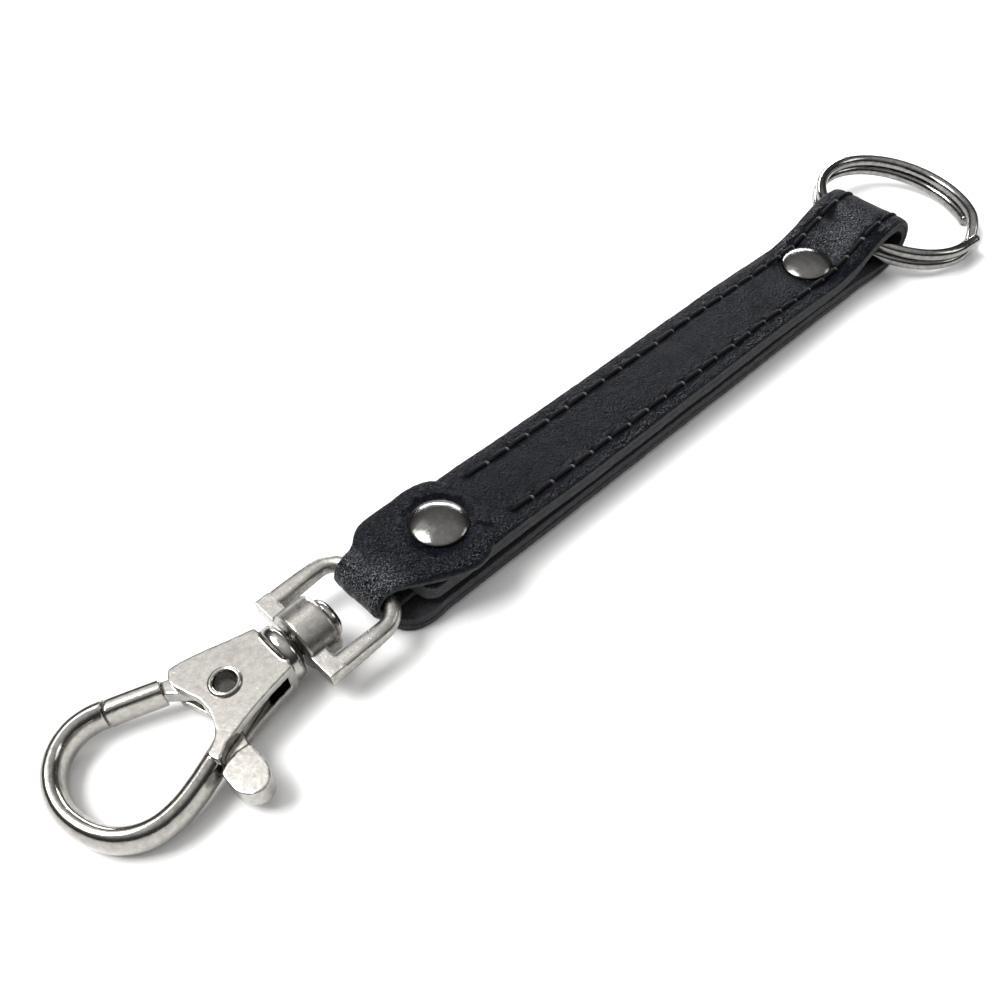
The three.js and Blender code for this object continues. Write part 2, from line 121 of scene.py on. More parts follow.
# ------------------------------------------------------------------ curves
def catmull(points, per=16, closed=False):
    P = np.array(points, float)
    n = len(P)
    segs = n if closed else n - 1
    out = []
    for i in range(segs):
        if closed:
            p0, p1, p2, p3 = P[(i - 1) % n], P[i], P[(i + 1) % n], P[(i + 2) % n]
        else:
            p1, p2 = P[i], P[i + 1]
            p0 = P[i - 1] if i > 0 else 2 * p1 - p2
            p3 = P[i + 2] if i + 2 < n else 2 * p2 - p1
        d0, d1, d2 = (max(np.linalg.norm(b - a), 1e-9) ** 0.5 for a, b in ((p0, p1), (p1, p2), (p2, p3)))
        m1 = ((p1 - p0) / d0 - (p2 - p0) / (d0 + d1) + (p2 - p1) / d1) * d1
        m2 = ((p2 - p1) / d1 - (p3 - p1) / (d1 + d2) + (p3 - p2) / d2) * d1
        t = (np.arange(per) / per)[:, None]
        out.append((2 * t**3 - 3 * t**2 + 1) * p1 + (t**3 - 2 * t**2 + t) * m1 + (-2 * t**3 + 3 * t**2) * p2 + (t**3 - t**2) * m2)
    if not closed:
        out.append(P[-1][None])
    return np.concatenate(out)


def resample(path, step=None, count=None, knots=None):
    """even arc-length steps, or the given arc lengths"""
    L = np.concatenate([[0], np.cumsum(np.linalg.norm(np.diff(path, axis=0), axis=1))])
    if knots is None:
        n = count or max(2, int(round(L[-1] / step)) + 1)
        knots = np.linspace(0, L[-1], n)
    return np.stack([np.interp(knots, L, path[:, k]) for k in range(path.shape[1])], 1), knots


def normals2(path):
    """unit normal to the right of the direction of travel, in X and Z"""
    t = np.gradient(path, axis=0)
    t /= np.linalg.norm(t, axis=1)[:, None]
    return np.stack([t[:, 1], -t[:, 0]], 1)


# ------------------------------------------------------------------ meshes
def new_object(name, verts, faces, materials, face_mat=None, smooth=True):
    me = bpy.data.meshes.new(name)
    me.from_pydata([tuple(v) for v in np.asarray(verts)], [], [tuple(int(i) for i in f) for f in faces])
    for m in materials:
        me.materials.append(m)
    if face_mat is not None:
        me.polygons.foreach_set("material_index", np.asarray(face_mat, np.int32))
    me.polygons.foreach_set("use_smooth", [smooth] * len(me.polygons))
    me.update()
    ob = bpy.data.objects.new(name, me)
    sc.collection.objects.link(ob)
    return ob


def loft_faces(ns, nr, cap=True):
    """faces of a tube of ns stations with nr points each; the caps are fans round two extra points"""
    i = np.arange(ns - 1)[:, None] * nr
    j = np.arange(nr)[None, :]
    a = i + j
    b = i + (j + 1) % nr
    q = np.stack([a, b, b + nr, a + nr], -1).reshape(-1, 4).tolist()
    if cap:
        c0, c1 = ns * nr, ns * nr + 1
        e = (ns - 1) * nr
        q += [(c0, (k + 1) % nr, k) for k in range(nr)]
        q += [(c1, e + k, e + (k + 1) % nr) for k in range(nr)]
    return q


def fix_normals(ob):
    me = ob.data
    co = np.zeros(len(me.vertices) * 3)
    me.vertices.foreach_get("co", co)
    co = co.reshape(-1, 3)
    me.calc_loop_triangles()
    t = np.zeros(len(me.loop_triangles) * 3, np.int32)
    me.loop_triangles.foreach_get("vertices", t)
    t = t.reshape(-1, 3)
    c = co.mean(0)
    v = np.einsum("ij,ij->i", co[t[:, 0]] - c, np.cross(co[t[:, 1]] - c, co[t[:, 2]] - c)).sum()
    if v < 0:
        me.flip_normals()
    return ob


def lathe(name, profile, place, materials, seg=96, jitter=None):
    """closed profile of [radius, height]; place turns local (x, y, z) mm into metres"""
    prof = np.array(profile, float)
    n = len(prof)
    a = np.arange(seg) / seg * 2 * math.pi
    r, z = prof[:, 0][None, :], prof[:, 1][None, :]
    pts = np.stack([r * np.cos(a)[:, None], r * np.sin(a)[:, None], np.repeat(z, seg, 0)], -1)
    if jitter is not None:
        pts = jitter(pts)
    faces = []
    on_axis = prof[:, 0] < 1e-6
    closed = not on_axis.any()
    idx = np.arange(seg * n).reshape(seg, n)
    for k in (range(n) if closed else range(n - 1)):
        k2 = (k + 1) % n
        for s in range(seg):
            s2 = (s + 1) % seg
            p = [idx[s, k], idx[s, k2], idx[s2, k2], idx[s2, k]]
            if on_axis[k]:
                p = [idx[0, k], idx[s, k2], idx[s2, k2]]
            elif on_axis[k2]:
                p = [idx[s, k], idx[0, k2], idx[s2, k]]
            if on_axis[k] and on_axis[k2]:
                continue
            faces.append(p)
    v = place(pts.reshape(-1, 3))
    used = np.unique(np.concatenate([np.array(f) for f in faces]))
    remap = -np.ones(len(v), int)
    remap[used] = np.arange(len(used))
    faces = [[remap[i] for i in f] for f in faces]
    return fix_normals(new_object(name, v[used], faces, materials))


def tube(name, path, section, place, materials, up=(0, 0, 1), section_fn=None):
    """sweep of a closed section (list of [side, up]) along a 3-D path, mm"""
    path = np.array(path, float)
    t = np.gradient(path, axis=0)
    t /= np.linalg.norm(t, axis=1)[:, None]
    side = np.cross(t, np.array(up, float))
    side /= np.linalg.norm(side, axis=1)[:, None]
    upv = np.cross(side, t)
    section = np.array(section, float)
    ns, nr = len(path), len(section)
    S = np.repeat(section[None], ns, 0)
    if section_fn is not None:
        S = section_fn(S, np.linspace(0, 1, ns))
    pts = path[:, None] + S[..., :1] * side[:, None] + S[..., 1:] * upv[:, None]
    v = np.concatenate([pts.reshape(-1, 3), path[:1], path[-1:]])
    return fix_normals(new_object(name, place(v), loft_faces(ns, nr), materials))


def superellipse(a, b, n=28, e=2.5):
    t = (np.arange(n) + 0.5) / n * 2 * math.pi
    c, s = np.cos(t), np.sin(t)
    return np.stack([np.sign(c) * a * np.abs(c) ** (2 / e), np.sign(s) * b * np.abs(s) ** (2 / e)], 1)


def prism(name, outline, h0, h1, place, materials=(), smooth_outline=0):
    o = np.array(outline, float)
    if smooth_outline:
        o = catmull(o, smooth_outline, closed=True)
    n = len(o)
    v = np.concatenate([np.c_[o, np.full(n, h0)], np.c_[o, np.full(n, h1)]])
    faces = [list(range(n))[::-1], list(range(n, 2 * n))]
    faces += [(k, (k + 1) % n, n + (k + 1) % n, n + k) for k in range(n)]
    return fix_normals(new_object(name, place(v), faces, list(materials), smooth=False))


def boolean(ob, cutter, op="DIFFERENCE"):
    m = ob.modifiers.new("b", "BOOLEAN")
    m.operation = op
    m.solver = "EXACT"
    m.object = cutter
    bake(ob)
    return ob


def bake(ob):
    bpy.context.view_layer.update()
    dg = bpy.context.evaluated_depsgraph_get()
    me = bpy.data.meshes.new_from_object(ob.evaluated_get(dg))
    ob.modifiers.clear()
    old = ob.data
    ob.data = me
    bpy.data.meshes.remove(old)
    return ob


def remove(*obs):
    for o in obs:
        bpy.data.objects.remove(o, do_unlink=True)


def cast(name, parts, voxel, iterations, materials):
    """one casting from overlapping solids: joined, remeshed, and its edges rounded"""
    vs, fs, base = [], [], 0
    for p in parts:
        me = p.data
        co = np.zeros(len(me.vertices) * 3)
        me.vertices.foreach_get("co", co)
        vs.append(co.reshape(-1, 3))
        fs += [[base + i for i in f.vertices] for f in me.polygons]
        base += len(me.vertices)
    remove(*parts)
    S = 1000.0
    ob = new_object(name, np.concatenate(vs) * S, fs, [])
    m = ob.modifiers.new("r", "REMESH")
    m.mode = "VOXEL"
    m.voxel_size = voxel
    bake(ob)
    m = ob.modifiers.new("s", "SMOOTH")
    m.factor = 0.5
    m.iterations = iterations
    bake(ob)
    me = ob.data
    co = np.zeros(len(me.vertices) * 3)
    me.vertices.foreach_get("co", co)
    me.vertices.foreach_set("co", co / S)
    me.materials.clear()
    for mt in materials:
        me.materials.append(mt)
    me.polygons.foreach_set("material_index", np.zeros(len(me.polygons), np.int32))
    me.polygons.foreach_set("use_smooth", [True] * len(me.polygons))
    me.update()
    return ob


# --------------------------------------------------------------- materials
class Nodes:
    def __init__(self, name):
        self.m = bpy.data.materials.new(name)
        self.m.use_nodes = True
        self.nt = self.m.node_tree
        self.nt.nodes.clear()
        self.out = self.nt.nodes.new("ShaderNodeOutputMaterial")
        self.b = self.nt.nodes.new("ShaderNodeBsdfPrincipled")
        self.nt.links.new(self.b.outputs[0], self.out.inputs[0])
        self.co = self.nt.nodes.new("ShaderNodeTexCoord").outputs["Object"]

    def link(self, a, b):
        self.nt.links.new(a, b)
        return self

    def set(self, **kw):
        for k, v in kw.items():
            self.b.inputs[k.replace("_", " ")].default_value = v
        return self

    def mapping(self, scale, loc=(0, 0, 0), rot=(0, 0, 0)):
        n = self.nt.nodes.new("ShaderNodeMapping")
        n.inputs["Scale"].default_value = scale if hasattr(scale, "__len__") else (scale,) * 3
        n.inputs["Location"].default_value = loc
        n.inputs["Rotation"].default_value = rot
        self.link(self.co, n.inputs["Vector"])
        return n.outputs[0]

    def noise(self, scale, detail=3.0, rough=0.5, vec=None, distortion=0.0):
        n = self.nt.nodes.new("ShaderNodeTexNoise")
        n.inputs["Scale"].default_value = scale
        n.inputs["Detail"].default_value = detail
        n.inputs["Roughness"].default_value = rough
        n.inputs["Distortion"].default_value = distortion
        self.link(vec if vec is not None else self.co, n.inputs["Vector"])
        return n.outputs["Fac"]

    def voronoi(self, scale, feature="F1", out="Distance", vec=None, rand=1.0):
        n = self.nt.nodes.new("ShaderNodeTexVoronoi")
        n.feature = feature
        n.inputs["Scale"].default_value = scale
        n.inputs["Randomness"].default_value = rand
        self.link(vec if vec is not None else self.co, n.inputs["Vector"])
        return n.outputs[out]

    def ramp(self, fac, stops, interp="LINEAR"):
        n = self.nt.nodes.new("ShaderNodeValToRGB")
        n.color_ramp.interpolation = interp
        el = n.color_ramp.elements
        while len(el) < len(stops):
            el.new(0.5)
        for e, (p, c) in zip(el, stops):
            e.position = p
            e.color = (c, c, c, 1) if not hasattr(c, "__len__") else (*c, 1)
        self.link(fac, n.inputs["Fac"])
        return n.outputs["Color"]

    def math(self, op, a, b=None, c=None, clamp=False):
        n = self.nt.nodes.new("ShaderNodeMath")
        n.operation = op
        n.use_clamp = clamp
        for k, v in enumerate((a, b, c)):
            if v is None:
                continue
            if isinstance(v, (int, float)):
                n.inputs[k].default_value = v
            else:
                self.link(v, n.inputs[k])
        return n.outputs[0]

    def mix(self, fac, a, b, blend="MIX"):
        n = self.nt.nodes.new("ShaderNodeMix")
        n.data_type = "RGBA"
        n.blend_type = blend
        for sock, v in ((0, fac), (6, a), (7, b)):
            if isinstance(v, (int, float)):
                n.inputs[sock].default_value = v if sock == 0 else (v, v, v, 1)
            elif isinstance(v, tuple):
                n.inputs[sock].default_value = (*v, 1)
            else:
                self.link(v, n.inputs[sock])
        return n.outputs[2]

    def bump(self, height, strength, distance, normal=None):
        n = self.nt.nodes.new("ShaderNodeBump")
        n.inputs["Strength"].default_value = strength
        n.inputs["Distance"].default_value = distance
        self.link(height, n.inputs["Height"])
        if normal is not None:
            self.link(normal, n.inputs["Normal"])
        return n.outputs[0]

    def near(self, point_mm, radius_mm, soft=1.0, scale=(1, 1, 1)):
        """1 near a point of the strap frame, falling to 0 at the radius"""
        p = strap_m(np.array(point_mm))
        n = self.nt.nodes.new("ShaderNodeVectorMath")
        n.operation = "SUBTRACT"
        self.link(self.co, n.inputs[0])
        n.inputs[1].default_value = tuple(p)
        s = self.nt.nodes.new("ShaderNodeVectorMath")
        s.operation = "MULTIPLY"
        self.link(n.outputs[0], s.inputs[0])
        s.inputs[1].default_value = tuple(1000.0 * k / radius_mm for k in scale)
        l = self.nt.nodes.new("ShaderNodeVectorMath")
        l.operation = "LENGTH"
        self.link(s.outputs[0], l.inputs[0])
        d = self.math("SUBTRACT", 1.0, l.outputs["Value"], clamp=True)
        return self.math("POWER", d, soft)


def grain_leather(name, pebble=2600.0):
    n = Nodes(name)
    peb = n.voronoi(pebble, "SMOOTH_F1")
    peb2 = n.voronoi(pebble * 2.3)
    cracks = n.voronoi(pebble * 0.8, "DISTANCE_TO_EDGE")
    fine = n.noise(9000, 4, 0.6)
    broad = n.noise(170, 3, 0.55)
    mid = n.noise(650, 4, 0.6)
    col = n.mix(n.ramp(broad, [(0.3, 0.0), (0.7, 1.0)]), (0.0016, 0.0022, 0.0042), (0.0040, 0.0050, 0.0088))
    col = n.mix(n.ramp(mid, [(0.45, 0.0), (0.8, 0.45)]), col, (0.010, 0.0120, 0.0175))
    # finish stretched and chalky where the leather is bent sharply or pressed, and painted highlight: the light grey
    # speckles there also stand for the glints that the bends catch
    spots = n.ramp(n.noise(1.0, 4, 0.7, n.mapping((3900, 4800, 4400))), [(0.51, 0.0), (0.61, 1.0)])
    bent = n.near((-12.3, -2.2, 7.6), 6.2, 1.0, (1.25, 1, 1))
    bent2 = n.near((84.6, -0.5, 8.2), 5.6, 1.0, (1.35, 1.0, 1))
    bent3 = n.near((-12.5, 3.2, 7.0), 3.6, 1.0)
    stretched_finish_and_painted_glint = n.math("MAXIMUM", n.math("MAXIMUM", bent, bent2), bent3)
    stretched_finish_and_painted_glint = n.math("MULTIPLY", n.math("MULTIPLY", stretched_finish_and_painted_glint, 1.7, clamp=True), spots)
    # pressed shiny round the two rivets and over the tab's roll (lower roughness), with painted shade that darkens the
    # colour there to near black
    burnish_and_painted_shade = n.math("MAXIMUM", n.near((0, 0, 8.6), 6.6, 1.6), n.near((79.0, 0, 6.0), 6.2, 1.4))
    burnish_and_painted_shade = n.math("MAXIMUM", burnish_and_painted_shade, n.near((-13.6, -0.5, 6.4), 6.0, 1.6))
    # painted shade: near-black colour round the rivets and over the roll
    col = n.mix(n.math("MULTIPLY", burnish_and_painted_shade, n.ramp(mid, [(0.35, 0.75), (0.65, 0.25)])), col, (0.0016, 0.0017, 0.0020))
    # painted highlight, partly stretched finish: light grey speckles over the bends
    col = n.mix(n.math("MULTIPLY", stretched_finish_and_painted_glint, 0.74), col, (0.23, 0.24, 0.255))
    n.link(col, n.b.inputs["Base Color"])
    rough = n.ramp(mid, [(0.25, 0.27), (0.75, 0.36)])
    n.link(n.mix(burnish_and_painted_shade, rough, n.ramp(mid, [(0.3, 0.16), (0.7, 0.24)])), n.b.inputs["Roughness"])
    h = n.math("ADD", n.math("MULTIPLY", peb, 0.9), n.math("MULTIPLY", peb2, 0.35))
    h = n.math("ADD", h, n.math("MULTIPLY", n.ramp(cracks, [(0.0, 0.0), (0.16, 1.0)]), 0.5))
    b = n.bump(h, 0.9, 0.00030)
    b = n.bump(fine, 0.3, 0.00005, b)
    b = n.bump(mid, 0.5, 0.0004, b)
    b = n.bump(broad, 0.4, 0.0010, b)
    n.link(b, n.b.inputs["Normal"])
    n.set(Specular_IOR_Level=0.10, Sheen_Weight=0.003, Sheen_Roughness=0.4)
    n.b.inputs["Sheen Tint"].default_value = (0.72, 0.80, 1.0, 1)
    return n.m


def edge_leather(name):
    n = Nodes(name)
    fib = n.noise(1.0, 5, 0.7, n.mapping((1500, 5200, 5200)))
    lay = n.noise(1.0, 4, 0.65, n.mapping((500, 3000, 7500)))
    pit = n.noise(3800, 4, 0.7)
    col = n.mix(n.ramp(fib, [(0.35, 0.0), (0.7, 1.0)]), (0.010, 0.010, 0.011), (0.062, 0.064, 0.070))
    col = n.mix(n.ramp(lay, [(0.5, 0.0), (0.75, 0.6)]), col, (0.11, 0.112, 0.118))
    n.link(col, n.b.inputs["Base Color"])
    n.link(n.ramp(pit, [(0.3, 0.62), (0.7, 0.92)]), n.b.inputs["Roughness"])
    b = n.bump(fib, 0.7, 0.00014)
    b = n.bump(pit, 0.6, 0.00012, b)
    n.link(b, n.b.inputs["Normal"])
    n.set(Specular_IOR_Level=0.2, Sheen_Weight=0.04, Sheen_Roughness=0.6)
    return n.m


def flesh_leather(name):
    n = Nodes(name)
    f = n.noise(2400, 6, 0.72)
    g = n.noise(500, 3, 0.5)
    col = n.mix(n.ramp(f, [(0.35, 0.0), (0.7, 1.0)]), (0.011, 0.0115, 0.013), (0.05, 0.051, 0.056))
    col = n.mix(n.ramp(g, [(0.4, 0.0), (0.8, 0.5)]), col, (0.02, 0.0205, 0.024))
    n.link(col, n.b.inputs["Base Color"])
    n.link(n.ramp(f, [(0.3, 0.7), (0.7, 0.95)]), n.b.inputs["Roughness"])
    n.link(n.bump(f, 0.6, 0.00015), n.b.inputs["Normal"])
    n.set(Specular_IOR_Level=0.15, Sheen_Weight=0.04, Sheen_Roughness=0.55)
    return n.m


def thread_material(name, base, hi):
    n = Nodes(name)
    f = n.noise(6000, 4, 0.7)
    g = n.noise(900, 2, 0.5)
    col = n.mix(n.ramp(f, [(0.35, 0.0), (0.7, 1.0)]), base, hi)
    col = n.mix(n.ramp(g, [(0.4, 0.0), (0.8, 0.4)]), col, base)
    n.link(col, n.b.inputs["Base Color"])
    n.link(n.ramp(f, [(0.3, 0.42), (0.7, 0.66)]), n.b.inputs["Roughness"])
    n.link(n.bump(f, 0.5, 0.00006), n.b.inputs["Normal"])
    n.set(Specular_IOR_Level=0.09, Sheen_Weight=0.004, Sheen_Roughness=0.5)
    return n.m


def nickel(name, base, dark, rough=(0.14, 0.3), mottle=0.35, scratch=0.25, wear_axis=None, pits=0.25):
    n = Nodes(name)
    broad = n.noise(260, 4, 0.6)
    mot = n.noise(1300, 5, 0.65)
    fine = n.noise(5200, 4, 0.7)
    scr = n.noise(1.0, 4, 0.75, n.mapping((700, 9000, 9000), rot=(0.2, 0.5, 0.35)), 0.4)
    scr2 = n.noise(1.0, 4, 0.75, n.mapping((9000, 800, 9000), rot=(0.1, -0.4, -0.5)), 0.4)
    col = n.mix(n.ramp(mot, [(0.36, 0.0), (0.72, 1.0)]), base, dark)
    col = n.mix(n.ramp(broad, [(0.35, 0.0), (0.8, 0.5)]), col, base)
    n.link(col, n.b.inputs["Base Color"])
    rr = n.ramp(n.math("ADD", n.math("MULTIPLY", mot, 0.6), n.math("MULTIPLY", scr, 0.4)), [(0.34, rough[0]), (0.66, rough[1])])
    n.link(rr, n.b.inputs["Roughness"])
    pit = n.ramp(n.voronoi(1500, "F1"), [(0.0, 0.0), (0.13, 1.0)])
    keep = n.ramp(n.noise(420, 2, 0.5), [(0.52, 1.0), (0.60, 0.0)])
    b = n.bump(mot, mottle * 0.35, 0.00006)
    b = n.bump(n.math("MAXIMUM", pit, keep), pits, 0.00005, b)
    b = n.bump(n.math("ADD", scr, scr2), scratch, 0.000012, b)
    b = n.bump(fine, pits * 0.6, 0.000012, b)
    b = n.bump(broad, 0.15, 0.00025, b)
    n.link(b, n.b.inputs["Normal"])
    n.set(Metallic=1.0, Specular_IOR_Level=0.5)
    return n.m


M_GRAIN = grain_leather("leather_grain")
M_EDGE = edge_leather("leather_edge")
M_FLESH = flesh_leather("leather_flesh")
M_THREAD = thread_material("thread_black", (0.0010, 0.0010, 0.0013), (0.0045, 0.0048, 0.006))
# painted highlight: the light grey thread stands for glints at the stitch holes
M_TEND = thread_material("thread_end_painted_glint", (0.03, 0.03, 0.033), (0.27, 0.27, 0.28))
M_CAST = nickel("nickel_cast", (0.43, 0.417, 0.39), (0.25, 0.237, 0.217), (0.10, 0.21), 0.3, 0.3)
M_HUB = nickel("nickel_worn", (0.43, 0.415, 0.39), (0.22, 0.21, 0.195), (0.20, 0.40), 0.8, 0.6, pits=0.6)
M_RIVET = nickel("nickel_satin", (0.165, 0.162, 0.156), (0.10, 0.098, 0.094), (0.12, 0.24), 0.15, 0.3, pits=0.2)
M_RING = nickel("ring_wire", (0.31, 0.303, 0.292), (0.13, 0.127, 0.122), (0.04, 0.12), 0.15, 0.45)
M_SPRING = nickel("spring_wire", (0.55, 0.54, 0.52), (0.35, 0.34, 0.33), (0.25, 0.4), 0.2, 0.3)

# ------------------------------------------------------------------- strap
INNER = [
    (-11.2, 2.60), (-8.6, 2.64), (-6.6, 2.95), (-4.6, 3.24), (-2, 3.30), (4, 3.30), (20, 3.30), (40, 3.30), (60, 3.30),
    (72, 3.30), (79, 3.28), (84, 3.08), (88, 2.62), (91, 2.24), (93.0, 2.15), (94.8, 2.33), (96.0, 2.93),
    (96.8, 4.05), (96.9, 5.3), (96.3, 6.6), (94.9, 7.68), (93.0, 8.04), (90.8, 7.76), (88, 6.75), (84.8, 5.05), (81.8, 4.02),
    (78.4, 3.64), (74, 3.72), (68, 3.98), (60, 4.14), (40, 4.14), (22, 4.14), (14, 4.32), (8, 4.56), (2, 4.60), (-3, 4.60), (-7.5, 4.60)]
PLY, PLY_GAP, W2, SEAM = 1.3, 0.05, 6.5, 4.12
raw = catmull(INNER, 40)
path, S = resample(raw, step=0.36)
NRM = normals2(path)
# keep the curve's own turn at the tight fold from pinching the inside
TOTAL = S[-1]
i_fold = int(np.argmax(path[:, 0]))
lower_half = np.arange(len(path)) < i_fold
SK = np.ones(len(path))
SK -= 0.26 * np.clip((path[:, 0] - 82) / 8, 0, 1)
SK -= np.where((path[:, 0] < -6) & (path[:, 1] < 3.2), 0.06 * np.clip((-6 - path[:, 0]) / 3, 0, 1), 0)

# half width: fully rounded at the lower end, small radii at the upper end
WID = np.full(len(path), W2)
d0 = np.clip(S, 0, 4.6)
WID = np.minimum(WID, np.where(S < 4.6, W2 - 4.6 + np.sqrt(np.maximum(4.6**2 - (4.6 - d0) ** 2, 0)), W2))
d1 = np.clip(TOTAL - S, 0, 2.2)
WID = np.minimum(WID, np.where(TOTAL - S < 2.2, W2 - 2.2 + np.sqrt(np.maximum(2.2**2 - (2.2 - d1) ** 2, 0)), W2))

s_line = S
x_line = path[:, 0]
# stitches: pitch 3.84 mm, one boundary at X 8.70 on the upper half
PITCH = 3.84
s_ref = float(np.interp(-8.70, -x_line[i_fold:], S[i_fold:]))
s_start = float(np.interp(-3.6, x_line[:i_fold], S[:i_fold]))
s_end = float(np.interp(-6.6, -x_line[i_fold:], S[i_fold:]))
k_lo = math.ceil((s_start - s_ref) / PITCH)
k_hi = math.floor((s_end - s_ref) / PITCH + 0.3)
HOLES = s_ref + PITCH * np.arange(k_lo, k_hi + 1)


def hole_shift(side):
    """small irregularity of each stitch hole along and across"""
    g = np.random.default_rng(11 if side > 0 else 12)
    return g.normal(0, 0.10, len(HOLES)), g.normal(0, 0.07, len(HOLES))


SHIFT = {1: hole_shift(1), -1: hole_shift(-1)}


def edge_wave(s, side, seed):
    return 0.07 * fbm(np.stack([s / 7.0, np.full_like(s, side * 3.0), np.full_like(s, seed)], 1), 3 + seed, 3) \
        + 0.035 * fbm(np.stack([s / 0.8, np.full_like(s, side * 5.0), np.full_like(s, seed)], 1), 9 + seed, 2)


def face_relief(s, y, grain):
    """height of the grain face above its nominal level, mm"""
    X = np.interp(s, S, x_line)
    up = s > S[i_fold]
    z = np.zeros_like(s)
    ay = np.abs(y)
    z -= 0.16 * sstep(5.0, 6.6, ay) ** 1.5
    run = (s > s_start - 1) & (s < s_end + 1)
    z -= np.where(run, 0.15 * np.exp(-((ay - SEAM) / 0.50) ** 2), 0)
    z += np.where(run, 0.05 * np.exp(-((ay - SEAM + 1.1) / 0.7) ** 2) + 0.07 * np.exp(-((ay - SEAM - 1.15) / 0.6) ** 2), 0)
    for side in (1, -1):
        ds, dy = SHIFT[side]
        near = HOLES[np.clip(np.rint((s - s_ref) / PITCH).astype(int) - k_lo, 0, len(HOLES) - 1)]
        idx = np.clip(np.rint((s - s_ref) / PITCH).astype(int) - k_lo, 0, len(HOLES) - 1)
        q = ((s - near - ds[idx]) / 0.42) ** 2 + ((y - side * SEAM - dy[idx]) / 0.36) ** 2
        z -= np.where(run, 0.34 * np.exp(-q), 0)
        # the pull of the thread puckers the face a little beside each hole
        q2 = ((s - near - ds[idx]) / 1.1) ** 2 + ((y - side * (SEAM + 0.9)) / 0.8) ** 2
        z -= np.where(run, 0.10 * np.exp(-q2), 0)
    if grain:
        r = np.hypot(X - 79.0, y)
        seat_up = 0.36 * (1 - sstep(3.7, 7.6, r)) + 0.10 * np.exp(-((r - 4.15) / 0.45) ** 2)
        z -= np.where(up, seat_up, 0.27 * (1 - sstep(3.8, 6.2, r)))
        r0 = np.hypot(X, y)
        z -= np.where(up, 0.0, 0.27 * (1 - sstep(3.8, 6.2, r0)))
        z -= np.where(up, 0.10 * (1 - sstep(-2, 9.0, X)), 0)
    p = np.stack([X / 9.0, y / 5.0, up * 7.0], 1)
    z += 0.055 * fbm(p, 21, 3) * (1 - 0.7 * (np.hypot(X - 79.0, y) < 5))
    p = np.stack([X / 2.4, y / 2.0, up * 7.0], 1)
    z += 0.020 * fbm(p, 23, 3)
    if grain:
        # creases across the far margin by the tab, and where the strip bends into the fold
        cr = np.sin((X + 0.35 * y + 0.5 * fbm(np.stack([X / 2, y / 2, 0 * y], 1), 31, 2)) * 2 * math.pi / 1.25)
        z -= np.where(up, 0.05 * np.maximum(cr, 0) ** 2 * np.exp(-((X - 8.2) / 2.6) ** 2) * sstep(2.6, 4.6, y), 0)
        cr2 = np.sin((X - 0.25 * y + 0.8 * fbm(np.stack([X / 2.5, y / 2.5, 0 * y], 1), 37, 2)) * 2 * math.pi / 1.5)
        z -= np.where(up, 0.045 * np.maximum(cr2, 0) ** 2 * np.exp(-((X - 83.6) / 2.2) ** 2), 0)
    return z


